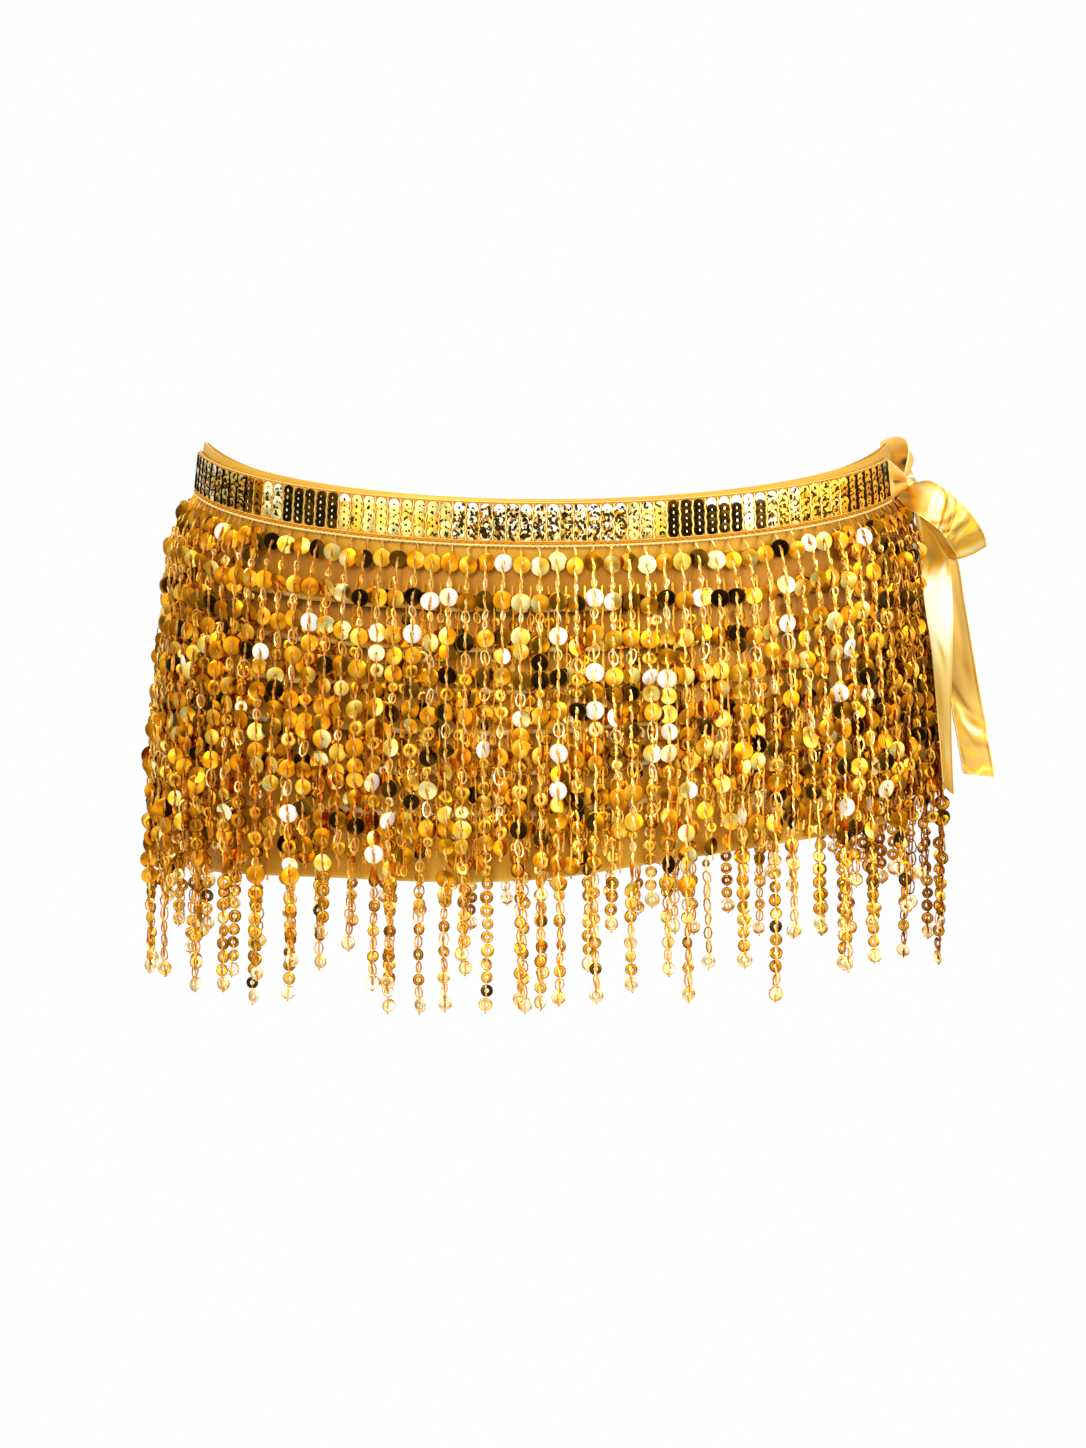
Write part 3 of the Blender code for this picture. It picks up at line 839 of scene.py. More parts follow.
def layout():
    """The strands' layers: the upper one from the band, and three from the tiers' hems."""
    count = UPPER_STRANDS
    edges, _ = even_turns(count * 2 + 1)
    upper_turns = edges[1::2]
    upper_root = band_bottom_z(upper_turns) - 0.0002
    upper_end = hem_z(upper_turns) + 0.004 + spread(0.0, 0.016, count)
    upper_shift = scatter(0.0, 0.35, count)
    low_turns = []
    low_ends = []
    middle = on_hips(upper_turns, -0.2, 0.015)[:, 0]
    front = np.abs(upper_turns) < 90.0
    for number, (across, below) in enumerate(FRONT_ENDS):
        x = across * 0.001
        z = -below * 0.001
        if number % 2 == 0 or abs(x) > LOW_REACH:
            gap = np.where(front, np.abs(middle - x), 9.0)
            nearest = int(np.argmin(gap))
            upper_end[nearest] = z
        else:
            low_turns.append(math.degrees(math.asin(np.clip(x / 0.180, -0.98, 0.98))))
            low_ends.append(z)
    back = even_turns(53, BACK_EDGE + 1.0, -91.0)[0]
    for number, turn in enumerate(back):
        z = float(curve(LONGEST_TURN, LONGEST_Z, turn)) + BACK_CUTS[number % len(BACK_CUTS)]
        if number % 2 == 0:
            nearest = int(np.argmin(np.abs(upper_turns - turn)))
            upper_end[nearest] = z
        else:
            low_turns.append(turn)
            low_ends.append(z)
    upper = Strands(upper_turns, upper_root, upper_end, UPPER_FLARE, SEAM_GAP + 0.0009, upper_shift)
    layers = [upper]
    for tier, lift, stand in ((0, 0.002, 0.0034), (3, 0.001, 0.0042)):
        turns = edges[2:-1:2] if tier == 0 else edges[1::2] + 0.8
        turns = turns[turns < FRONT_EDGE - 0.6]
        root = fall_z(turns, tier_hem(tier)) + 0.001 if tier else band_bottom_z(turns) - 0.0178
        end = hem_z(turns) + lift + spread(-0.004, 0.018, len(turns))
        side = 0.006 if tier == 0 else 0.002
        sway = scatter(0.0, 0.3, len(turns))
        layers.append(Strands(turns, root, end, LOWER_FLARE, stand, sway, side))
    turns = np.array(low_turns)
    order = np.argsort(turns)
    turns = turns[order]
    root = fall_z(turns, tier_hem(TIERS - 1)) + 0.001
    layers.append(Strands(turns, root, np.array(low_ends)[order], LOWER_FLARE, 0.0040, 0.0))

    # More strands from the band over both hips, where they hang close together
    turns = edges[2:-1:2]
    turns = turns[np.abs(sine(turns)) > 0.78]
    root = band_bottom_z(turns) - 0.0002
    end = hem_z(turns) + spread(-0.030, 0.016, len(turns))
    inner = np.array(UPPER_FLARE) * 0.55
    layers.append(Strands(turns, root, end, inner, SEAM_GAP + 0.0016, scatter(0.0, 0.4, len(turns))))
    return layers


# Kinds of things strung on a strand
PAILLETTE, RING, OPEN_LOOP, TINY = range(4)


class Layer:
    """A layer of strands and what is strung on them."""

    def __init__(self, name, strands):
        self.name = name
        self.strands = strands
        self.items = []

    def add(self, index, fall, kind, size, tone=np.nan):
        if 0.0025 < fall < self.strands.length[index] - 0.001:
            self.items.append((kind, index, fall, size, tone))

    def chosen(self, kind, scale=1.0):
        """The strands, falls, sizes and tones of one kind, as arrays. A tone that isn't given is nan."""
        rows = np.array([item[1:] for item in self.items if item[0] == kind], float).reshape(-1, 4)
        return rows[:, 0].astype(int), rows[:, 1], rows[:, 2] * scale, rows[:, 3]

    def fill(self, index, start, stop, pitch, shares):
        """Things at a pitch along a stretch of one strand, drawn by the shares of their kinds."""
        fall = start
        while fall < stop:
            kind = int(RANDOM.choice(4, p=shares))
            size = spread(0.92, 1.05) if kind != OPEN_LOOP else spread(0.8, 1.25)
            self.add(index, fall + scatter(0.0, 0.0006), kind, size)
            fall += pitch * (1.25 if kind == PAILLETTE else 1.0)

    def hang(self, index, start):
        """A strand's free end: rings strung close, rings and open loops by turns, or a near bare thread."""
        stop = self.strands.length[index] - 0.0036
        style = RANDOM.choice(3, p=(0.46, 0.40, 0.14))
        self.add(index, stop, RING, tone=spread(5.0, 6.4), size=spread(1.04, 1.2))
        pitch = (0.0061, 0.0058, 0.0064)[style]
        count = int((stop - start) / pitch)
        for number in range(1, count + 1):
            fall = stop - number * pitch - 0.0004
            if style == 0:
                kind = RING if chance() < 0.9 else OPEN_LOOP
            elif style == 1:
                kind = OPEN_LOOP if number % 2 else RING
            else:
                kind = OPEN_LOOP if chance() < 0.75 else TINY
            self.add(index, fall, kind, spread(0.92, 1.06))


def side_yaw(normal, least=0.1):
    """Sequins over the hips twist on their threads, mostly towards the front or the back."""
    angle = np.degrees(np.arctan2(normal[:, 0], -normal[:, 1]))
    ahead = np.where(np.abs(angle) < 100.0, -angle, np.sign(angle) * 180.0 - angle)
    return ahead * spread(least, 0.85, len(normal))


def hip_shade(turn):
    """How much deeper the tones are over the hips, where strands shade each other."""
    side = sine(turn)
    return np.where(side > 0.0, 1.45, 0.60) * np.clip((np.abs(side) - 0.80) / 0.13, 0.0, 1.0)


def large_sequins(layer, materials, weights):
    """Paillettes, each folded a little about its upright middle so that its halves catch different light, and
    on many of them one half painted lighter than the other.
    """
    unit = disc_unit(16, LARGE, 0.00045, 0.00022, bevel=0.00045, fold=0.10)
    index, fall, size, named = layer.chosen(PAILLETTE)
    count = len(index)
    centre, normal = layer.strands.at(index, fall, ahead=spread(-0.0003, 0.0005, count))
    yaw = scatter(0.0, 1.0, count) * (9.0 + np.clip(fall - 0.03, 0.0, 0.12) * 270.0)
    yaw = yaw + side_yaw(normal)
    axes = facing(normal, yaw, scatter(-4.0, 8.0, count), scatter(0.0, 6.0, count))
    tone = random_tones(count, weights) - hip_shade(layer.strands.turns[index])
    # Painted light: on about half of them one half lighter and the other darker
    painted_split = np.where(chance(count) < 0.5, spread(0.6, 2.4, count), 0.0)
    painted_split *= RANDOM.choice((-1.0, 1.0), count)
    halves = np.stack([tone + painted_split * 0.5, tone - painted_split * 0.5], -1)
    halves = np.where(np.isnan(named)[:, None], halves, named[:, None])
    points, faces = copies(unit, centre, axes, size)
    tones = halves[:, unit[2]]
    # Two painted highlights, bright wings, on each, a dark rim and a dark hole
    away = np.hypot(unit[0][:, 0], unit[0][:, 2])
    angle = np.arctan2(unit[0][:, 0], unit[0][:, 2])
    painted_wings = np.cos(2.0 * (angle[None] - spread(0.0, math.pi, count)[:, None]))
    golden = (tones > 1.5) & (tones < 5.8)
    tones = tones + np.where(golden, 0.75, 0.15) * painted_wings * spread(0.3, 1.2, count)[:, None]
    rim = np.where(tones > 5.8, 4.6, np.where(tones < 1.5, 1.7, 1.5))
    tones = np.where(away[None] > LARGE - 0.0001, mix(tones, rim, 0.85), tones)
    tones = np.where(away[None] < 0.0006, 1.0, tones)
    colours = palette(tones).reshape(-1, 3)
    return make_object(f"{layer.name}_paillettes", points, [faces], materials[0], colours, 22.0, materials[1])


# A small ring's circles from its hole to its rim: radius, how far it stands forward, and change of tone,
# painted shading of its rounded section
RING_PROFILE = ((0.00112, -0.00012, -1.1), (0.00210, 0.0, 0.7), (SMALL, -0.00045, -2.0))


def small_sequins(layer, material):
    """Small rings, their middles raised, with painted shading that lightens their middles and darkens their
    rims and holes.
    """
    strands = layer.strands
    segments = 12
    radius, ahead, shade = (np.repeat(values, segments) for values in zip(*RING_PROFILE))
    angle = np.tile(np.arange(segments) * math.tau / segments, len(RING_PROFILE))
    unit = np.stack([radius * np.sin(angle), ahead, radius * np.cos(angle)], -1)
    index, fall, size, named = map(np.concatenate, zip(layer.chosen(RING), layer.chosen(TINY, 0.62)))
    count = len(index)
    centre, normal = strands.at(index, fall, ahead=spread(-0.0003, 0.0003, count))
    low = fall > (strands.root_z - hem_z(strands.turns))[index]
    yaw = scatter(0.0, 1.0, count) * np.where(low, 15.0, 26.0) + side_yaw(normal, 0.5)
    axes = facing(normal, yaw, scatter(0.0, 10.0, count))
    points, faces = copies((unit, grid_faces(3, segments, closed=True)), centre, axes, size)
    tone = random_tones(count, SMALL_WEIGHTS) - 0.6 * hip_shade(strands.turns[index])
    tone = np.where(np.isnan(named), tone, named)
    # Painted light: one side of each ring lighter than the other
    lean = unit[:, 0] / SMALL
    tones = tone[:, None] + shade[None] + 0.5 * lean[None] * RANDOM.choice((-1.0, 1.0), count)[:, None]
    return make_object(f"{layer.name}_rings", points, [faces], material, palette(tones).reshape(-1, 3), 50.0)


# The knot at a strand's end: points, and two small faces between them
END_KNOT = (
    np.array([(0, 0, 1), (1, 0, 0), (0, 1, 0), (-1, 0, 0), (0, -1, 0), (0, 0, -1)]) * 0.00055,
    np.array([(3, 2, 5, 4), (3, 5, 1, 4)]),
)


def wire_loops(layer, material, tone):
    """Open loops of metallic thread that stand between the sequins, and the knots at the strands' ends."""
    strands = layer.strands
    index, fall, size, _ = layer.chosen(OPEN_LOOP)
    count = len(index)
    centre, normal = strands.at(index, fall, ahead=0.0002)
    yaw = scatter(0.0, 22.0, count) + side_yaw(normal)
    axes = facing(normal, yaw, scatter(0.0, 8.0, count), scatter(0.0, 8.0, count))
    steps = 8
    angle = np.arange(steps + 1) * math.tau / steps
    width = 0.0020 * size * spread(0.65, 1.2, count)
    height = 0.0033 * size * spread(0.85, 1.15, count)
    flat = np.zeros((count, steps + 1))
    ring = np.stack([np.sin(angle) * width[:, None], flat, np.cos(angle) * height[:, None]], -1)
    paths = np.einsum("nsk,nkj->nsj", ring, axes) + centre[:, None]
    points, faces = tubes(paths, 0.00042, 3)
    low = fall > (strands.root_z - hem_z(strands.turns))[index]
    deeper = hip_shade(strands.turns[index])
    tones = np.repeat(tone + spread(-0.9, 1.3, count) - 1.4 * low - deeper, (steps + 1) * 3)
    # Painted glints and shade that change around and along each loop
    tones = tones + 1.2 * np.sin(np.arange(len(points)) * 1.35)
    sets = [(points, [faces[0]], palette(tones))]
    ends = np.flatnonzero(strands.root_z - strands.length < hem_z(strands.turns) - 0.004)
    centre, normal = strands.at(ends, strands.length[ends])
    points, faces = copies(END_KNOT, centre, facing(normal))
    sets.append((points, [faces], 1.4))
    return join_sets(f"{layer.name}_loops", sets, material)


def threads(layer, material, tone, step=0.0036, twin=False):
    """Each strand's thread, weaving in front of and behind its sequins and kinked at its stitches.

    Twin threads, a pale and a brown one, turn round each other.
    """
    strands = layer.strands
    steps = int(strands.length.max() / step) + 2
    count = np.arange(steps)
    index = np.repeat(np.arange(len(strands.turns))[:, None], steps, axis=1)
    fall = np.linspace(0.0, 1.0, steps)[None] * strands.length[:, None]
    weave = THREAD_WEAVE * (0.45 + 0.55 * np.sin((fall - FIRST_DROP) / PITCH * math.tau + 1.9))
    turn, z, out = strands.place(index, fall)
    turn = turn + spread(-1.0, 1.0, turn.shape) * 0.08
    sets = []
    for number, change in enumerate((0.5, -2.1) if twin else (0.5,)):
        spin = count[None] * math.tau / 4.0 + number * math.pi + strands.phase[:, None]
        paths = on_hips(turn + twin * 0.14 * np.sin(spin), z, out + weave + twin * 0.0004 * np.cos(spin))
        points, faces = tubes(paths, THREAD_RADIUS + 0.00014 * (count % 2), 3)
        # Painted glints and shade that change around and along each thread
        tones = tone + change + 0.9 * np.sin(np.arange(len(points)) * 2.4)
        tones = tones - np.repeat(hip_shade(strands.turns), steps * 3)
        sets.append((points, [faces[0]], palette(tones)))
    return join_sets(f"{layer.name}_threads", sets, material)


def string_upper(layer):
    """Rows of paillettes with loops and rings between them, then the free ends."""
    strands = layer.strands
    centre = int(np.argmin(np.abs(strands.turns)))
    painted_gleams = {(strand + centre, row): tone for tone, places in PAINTED_GLEAMS.items() for strand, row in places}
    cloth = band_bottom_z(strands.turns) - hem_z(strands.turns)
    for index in range(len(strands.turns)):
        shift = scatter(0.0, 0.0008)
        stop = min(strands.length[index] - 0.003, cloth[index] + 0.002)
        row = 1
        while True:
            fall = FIRST_DROP + PITCH * (row - 1) + shift + scatter(0.0, 0.0003 + 0.00028 * (row - 1))
            if fall > stop:
                break
            if row > 3 and (index, row) not in painted_gleams and chance() < 0.22:
                layer.add(index, fall, RING, spread(1.1, 1.3))
            else:
                layer.add(index, fall, PAILLETTE, spread(0.96, 1.03), painted_gleams.get((index, row), np.nan))
            middle = fall + 0.5 * PITCH
            draw = chance()
            if row == 1:
                layer.add(index, middle + 0.0010, OPEN_LOOP, spread(0.45, 0.75))
            elif row == 2:
                layer.add(index, middle - 0.0018, OPEN_LOOP, spread(0.6, 0.95))
                if draw < 0.7:
                    layer.add(index, middle + 0.0026, OPEN_LOOP, spread(0.5, 0.8))
            elif draw < (0.55 if row == 3 else 0.28):
                layer.add(index, middle, OPEN_LOOP, spread(0.95, 1.35))
            elif draw < 0.45:
                layer.add(index, middle - 0.0024, RING, 0.85)
                layer.add(index, middle + 0.0026, OPEN_LOOP, 0.75)
            elif draw < 0.62:
                layer.add(index, middle, RING, spread(1.05, 1.35))
            else:
                layer.add(index, middle + scatter(0.0, 0.001), PAILLETTE, spread(0.85, 0.98))
            row += 1
        if strands.length[index] > cloth[index] + 0.008:
            layer.hang(index, FIRST_DROP + PITCH * (row - 2) + 0.0075)


def string_second(layer, index):
    """Sequins at about the heights of the front's rows, with links between them."""
    start = 0.0085
    stop = layer.strands.length[index] - 0.003
    row = 0
    while start + PITCH * row < stop:
        fall = start + PITCH * row + scatter(0.0, 0.0006 + 0.0003 * row)
        layer.add(index, fall, PAILLETTE if chance() < 0.82 else RING, spread(0.92, 1.0))
        draw = chance()
        if draw < 0.45:
            layer.add(index, fall + 0.0068, OPEN_LOOP, spread(0.7, 0.9))
            layer.add(index, fall + 0.0112, OPEN_LOOP, spread(0.6, 0.8))
        elif draw < 0.75:
            layer.add(index, fall + 0.0088, RING, spread(0.85, 1.1))
        elif row > 1:
            layer.add(index, fall + 0.0088, PAILLETTE, spread(0.85, 0.95))
        row += 1


def make_strands(sequin_materials, small_material, thread_material):
    """The fringe's pieces, those from the band apart from those from the tiers."""
    names = ("upper", "second", "third", "lowest", "inner")
    layers = [Layer(name, strands) for name, strands in zip(names, layout())]
    upper, second, third, lowest, inner = layers
    string_upper(upper)
    for index in range(len(second.strands.turns)):
        string_second(second, index)
    for index, length in enumerate(third.strands.length):
        third.fill(index, 0.005, length - 0.003, 0.0058, (0.10, 0.44, 0.42, 0.04))
    for index in range(len(lowest.strands.turns)):
        lowest.hang(index, 0.004)
    for index in range(len(inner.strands.turns)):
        inner.fill(index, 0.007, 0.150, 0.0072, (0.40, 0.22, 0.36, 0.02))
        inner.hang(index, 0.152)
    from_band = []
    from_tiers = []
    for layer in layers:
        made = from_band if layer in (upper, inner) else from_tiers
        if layer is not lowest:
            weights = LARGE_WEIGHTS if layer is upper else SHADED_WEIGHTS
            made.append(large_sequins(layer, sequin_materials, weights))
        made.append(small_sequins(layer, small_material))
        # Threads and loops of the layers behind the upper one are darker, painted shade
        tone = 4.9 if layer is upper else 4.2 if layer is lowest else 3.4
        made.append(wire_loops(layer, thread_material, tone))
        step = 0.0024 if layer is upper else 0.0036
        made.append(threads(layer, thread_material, tone, step, layer is upper))
    return from_band, from_tiers


# Ribbons, row by row along them: x, y and z of the near edge, then of the far edge
LOOP = (
    (0.1755, -0.0108, 0.0070, 0.1658, -0.0112, -0.0036),
    (0.1837, -0.0225, 0.0072, 0.1742, -0.0235, -0.0070),
    (0.1951, -0.0270, -0.0015, 0.1858, -0.0285, -0.0154),
    (0.2050, -0.0255, -0.0130, 0.1905, -0.0280, -0.0220),
    (0.2086, -0.0210, -0.0226, 0.1945, -0.0240, -0.0284),
    (0.2035, -0.0175, -0.0212, 0.1902, -0.0205, -0.0288),
    (0.1940, -0.0180, -0.0075, 0.1838, -0.0205, -0.0188),
    (0.1845, -0.0165, 0.0005, 0.1775, -0.0190, -0.0096),
    (0.1778, -0.0085, 0.0060, 0.1766, -0.0100, 0.0010),
)
FRONT_TAIL = (
    (0.1702, -0.0085, 0.0023, 0.1750, -0.0062, 0.0023),
    (0.1753, -0.0145, -0.0080, 0.1845, -0.0085, -0.0080),
    (0.1770, -0.0235, -0.0285, 0.1912, -0.0130, -0.0285),
    (0.1790, -0.0315, -0.0520, 0.1930, -0.0205, -0.0520),
    (0.1822, -0.0375, -0.0760, 0.1925, -0.0230, -0.0760),
    (0.1850, -0.0415, -0.1080, 0.1920, -0.0250, -0.1090),
    (0.1872, -0.0415, -0.1345, 0.1932, -0.0250, -0.1410),
)
BACK_TAIL = (
    (0.1715, -0.0042, 0.0038, 0.1760, -0.0020, 0.0038),
    (0.1775, -0.0045, -0.0080, 0.1870, 0.0010, -0.0080),
    (0.1825, -0.0080, -0.0290, 0.1967, 0.0020, -0.0290),
    (0.1860, -0.0105, -0.0490, 0.2000, -0.0005, -0.0490),
    (0.1903, -0.0130, -0.0810, 0.2053, -0.0035, -0.0810),
    (0.1945, -0.0150, -0.1080, 0.2103, -0.0060, -0.1105),
    (0.1986, -0.0160, -0.1315, 0.2143, -0.0070, -0.1335),
)

# Folds of a ribbon: place along it and across it as shares, reach along and across, slant, push
FOLD = "along across reach width slant push"
LOOP_FOLDS = table(
    FOLD,
    (0.06, 0.30, 0.040, 0.22, 0.5, 0.0008),
    (0.08, 0.78, 0.035, 0.14, -0.5, 0.0006),
    (0.175, 0.50, 0.022, 0.70, 0.5, 0.0007),
    (0.212, 0.45, 0.012, 0.60, 0.8, -0.0010),
    (0.238, 0.55, 0.013, 0.60, 0.7, 0.0009),
    (0.270, 0.55, 0.012, 0.60, 0.9, -0.0010),
    (0.305, 0.45, 0.016, 0.60, 0.6, 0.0008),
    (0.350, 0.40, 0.018, 0.40, 0.7, -0.0007),
    (0.720, 0.40, 0.050, 0.30, 0.5, 0.0006),
)
FRONT_TAIL_FOLDS = table(
    FOLD,
    (0.05, 0.40, 0.050, 0.16, 0.4, 0.0006),
    (0.14, 0.70, 0.080, 0.12, -0.9, -0.0007),
    (0.22, 0.55, 0.060, 0.20, 0.8, 0.0006),
    (0.40, 0.28, 0.050, 0.26, 1.9, -0.0006),
    (0.50, 0.62, 0.060, 0.30, -1.8, 0.0006),
    (0.66, 0.45, 0.030, 0.30, 1.9, -0.0006),
    (0.92, 0.55, 0.050, 0.30, 0.9, 0.0006),
)
BACK_TAIL_FOLDS = table(
    FOLD,
    (0.06, 0.55, 0.060, 0.20, -0.4, 0.0008),
    (0.32, 0.40, 0.130, 0.16, 0.7, 0.0007),
    (0.58, 0.66, 0.110, 0.18, -0.9, -0.0007),
    (0.79, 0.50, 0.022, 0.60, 1.0, -0.0007),
    (0.835, 0.50, 0.022, 0.60, 0.9, 0.0008),
    (0.93, 0.60, 0.030, 0.35, 0.5, -0.0004),
)


# Painted light along a ribbon, as (place, tone): lighter and darker bands as light falls on it. Its painted
# glints and shades are folds whose push is a change of tone
LOOP_PAINTED_LIGHT = (
    (0.0, 2.6), (0.05, 3.4), (0.13, 3.7), (0.175, 4.4), (0.30, 3.9), (0.37, 3.0),
    (0.43, 2.9), (0.465, 4.2), (0.50, 3.2), (0.75, 3.6), (1.0, 2.6),
)
LOOP_GLINTS = table(
    FOLD,
    (0.04, 0.62, 0.040, 0.10, 1.2, -1.6),
    (0.09, 0.25, 0.060, 0.22, 0.8, 0.5),
    (0.13, 0.80, 0.040, 0.14, -0.8, -0.6),
    (0.205, 0.30, 0.013, 0.40, 1.8, -2.7),
    (0.226, 0.80, 0.012, 0.34, -1.8, -2.2),
    (0.258, 0.35, 0.014, 0.50, 1.6, -2.8),
    (0.284, 0.85, 0.012, 0.30, -1.2, -2.4),
    (0.322, 0.35, 0.012, 0.42, 1.2, -1.8),
    (0.345, 0.75, 0.012, 0.30, 0.8, 1.0),
    (0.392, 0.40, 0.012, 0.50, 0.6, -0.9),
    (0.700, 0.50, 0.060, 0.20, 0.9, 1.0),
)
FRONT_PAINTED_LIGHT = (
    (0.0, 1.8), (0.08, 2.9), (0.24, 2.9), (0.345, 3.0), (0.41, 4.9), (0.58, 4.9),
    (0.70, 4.0), (0.86, 3.6), (1.0, 3.2),
)
FRONT_GLINTS = table(
    FOLD,
    (0.07, 0.55, 0.060, 0.10, 1.0, -1.5),
    (0.17, 0.14, 0.110, 0.08, 0.2, 1.5),
    (0.19, 0.66, 0.060, 0.16, -1.5, -0.7),
    (0.26, 0.85, 0.060, 0.10, -0.8, 1.1),
    (0.32, 0.42, 0.030, 0.22, 1.5, -0.6),
    (0.375, 0.80, 0.018, 0.25, -1.8, 1.2),
    (0.385, 0.25, 0.016, 0.22, -1.8, -0.9),
    (0.47, 0.22, 0.014, 0.14, 1.4, -0.8),
    (0.56, 0.62, 0.040, 0.12, 1.8, -0.5),
    (0.655, 0.48, 0.024, 0.16, 1.9, -1.2),
    (0.76, 0.30, 0.050, 0.16, 1.6, -0.6),
    (0.88, 0.65, 0.040, 0.20, 1.4, 0.6),
)
BACK_PAINTED_LIGHT = (
    (0.0, 1.2), (0.15, 1.7), (0.40, 1.9), (0.62, 1.8), (0.76, 1.9), (0.82, 3.0),
    (0.90, 2.0), (1.0, 2.3),
)
BACK_GLINTS = table(
    FOLD,
    (0.25, 0.70, 0.070, 0.20, 0.8, 0.6),
    (0.42, 0.45, 0.060, 0.24, -1.0, 0.7),
    (0.55, 0.30, 0.050, 0.22, 1.0, -0.5),
    (0.66, 0.65, 0.040, 0.24, 1.0, -0.5),
    (0.770, 0.50, 0.016, 0.60, 1.8, -0.9),
    (0.815, 0.45, 0.018, 0.60, 1.8, 2.0),
    (0.860, 0.50, 0.014, 0.60, 1.8, -0.9),
    (0.910, 0.30, 0.016, 0.30, 1.2, 0.8),
    (0.985, 0.50, 0.009, 0.90, 0.0, 1.6),
)


def add_folds(total, folds, v, w, bend=0.0):
    """Adds each fold's push at the places v along a ribbon and w across it."""
    for fold in folds:
        aside = w - fold.across
        bent = bend * np.sin(aside * 7.0 + fold.along * 9.0)
        down = (v - fold.along - fold.slant * 0.06 * aside - bent) / fold.reach
        over = aside / fold.width
        total = total + fold.push * np.exp(-(down**2) - over**2)
    return total


def make_ribbon(name, edges, folds, painted_light, glints, material, along=110):
    """A ribbon through its two edges' rows, pushed by its folds and coloured by its painted light and painted
    glints.
    """
    across = 25
    smooth = curve(np.arange(len(edges)), edges, np.linspace(0.0, len(edges) - 1.0, along))
    v, w = np.meshgrid(np.linspace(0.0, 1.0, along), np.linspace(0.0, 1.0, across), indexing="ij")
    points = mix(smooth[:, None, :3], smooth[:, None, 3:], w[..., None])
    margin = np.minimum(w, 1.0 - w)
    push = add_folds(0.0008 * np.sin(math.pi * w), folds, v, w)
    push = push + 0.00012 * bell(margin / 0.05)
    tone = add_folds(curve(*zip(*painted_light), v), glints, v, w, bend=0.016)
    # A dark line of stitches, and outside it a bright selvedge
    tone = tone - 1.1 * bell((margin - 0.06) / 0.025)
    tone = np.where(margin < 0.03, np.maximum(tone, 3.9), np.clip(tone, 0.3, BRIGHTEST))
    points = points - sheet_normals(points) * push[..., None]
    return shell(name, points, 0.00055, material, 0.0, tone, RIBBONS)


KNOT_CENTRE = np.array((0.1723, -0.0060, 0.0074))


def make_tab(name, root_turn, tip_turn, root_top, hold, crest, swell, fold, material):
    """A gathered tab from the band's end to the knot, with pleats that run together at the knot.

    Its top edge first rises by crest, and falls to the knot late when hold is large. Its deep fold lies at a
    share of the way down it, and narrows to the knot.
    """
    v, u = np.meshgrid(np.linspace(0.0, 1.0, 44), np.linspace(0.0, 1.0, 30), indexing="ij")
    top = mix(root_top, KNOT_CENTRE[2] + 0.0035, u**hold) + crest * np.sin(math.pi * u**0.8)
    bottom = mix(band_bottom_z(root_turn), KNOT_CENTRE[2] - 0.0035, u**0.8)
    gather = np.sin(math.pi * (0.12 + 0.80 * u))
    pleat = 0.0017 * np.sin(math.tau * v) ** 2 * gather
    pleat = pleat + 0.0005 * np.sin(math.tau * 3.5 * v + 1.1) * u * (1.2 - u) * 2.0
    off_fold = v - fold - 0.10 * (1.0 - u)
    deep = bell(off_fold / mix(0.10, 0.05, u)) * np.clip((u - 0.22) / 0.18, 0.0, 1.0)
    rise = 0.0042 * u * u + swell * np.sin(math.pi * u)
    turn = mix(root_turn, tip_turn, u)
    points = on_hips(turn, mix(top, bottom, v), SEAM_GAP + 0.0004 + rise + pleat - 0.0006 * deep)
    # Painted light along the pleats, painted shade in the deep fold, and painted highlights along both edges
    pleat_light = np.sin(math.tau * (1.6 * v + 0.25)) * (0.4 + 0.6 * u)
    tone = 3.5 + 0.5 * pleat_light - 3.6 * deep + 0.8 * bell(np.minimum(v, 1.0 - v) / 0.03)
    return shell(name, points, 0.0006, material, 1.0, np.clip(tone, 0.0, BRIGHTEST), RIBBONS)


def make_knot(material):
    """The pulled knot: ribbon wound round itself, with grooves where it is drawn tight."""
    rings = 36
    around = 56
    angles = np.arange(around) * math.tau / around
    v, u = np.meshgrid(np.linspace(0.02, math.pi - 0.02, rings), angles, indexing="ij")
    waist = 1.0 - 0.16 * bell(np.cos(v) / 0.35)
    groove = 1.0 + 0.05 * np.sin(u * 2.0 + np.cos(v) * 5.0) + 0.035 * np.sin(np.cos(v) * 9.0 + u)
    x = np.sin(v) * np.cos(u) * 0.0044 * waist * groove
    z = np.sin(v) * np.sin(u) * 0.0038 * waist * groove
    y = np.cos(v) * 0.0055
    tilt = math.radians(25.0)
    ahead = y * math.cos(tilt) - z * math.sin(tilt)
    above = y * math.sin(tilt) + z * math.cos(tilt)
    points = (np.stack([x, ahead, above], -1) + KNOT_CENTRE).reshape(-1, 3)
    faces = grid_faces(rings, around, closed=True)
    cap_start = np.arange(around)[None]
    cap_end = cap_start + (rings - 1) * around
    # Painted light and shade round the knot, and painted shade in its grooves
    tone = 4.6 + 0.8 * np.sin(u * 2.0 + np.cos(v) * 5.0) - 2.0 * bell(np.sin(u + np.cos(v) * 3.0) / 0.16)
    colours = palette(tone.ravel(), RIBBONS)
    return make_object("knot", points, [faces, cap_start[:, ::-1], cap_end], material, colours, 60.0)


# Studio


def aim(item, target):
    item.rotation_euler = (Vector(target) - item.location).to_track_quat("-Z", "Y").to_euler()


def add_light(name, place, size, power, colour):
    data = bpy.data.lights.new(name, "AREA")
    data.energy = power
    data.color = colour
    data.size = size
    item = bpy.data.objects.new(name, data)
    item.location = place
    bpy.context.scene.collection.objects.link(item)
    aim(item, (0.0, 0.0, -0.1))
    return item


# The room's brightness from its floor to its ceiling, as (share of the height, level)
ROOM_LEVELS = ((0.0, 0.45), (0.28, 0.55), (0.40, 0.95), (0.50, 1.30), (0.60, 1.45), (0.75, 0.95), (1.0, 1.3))
ROOM_ZONES = 8.0


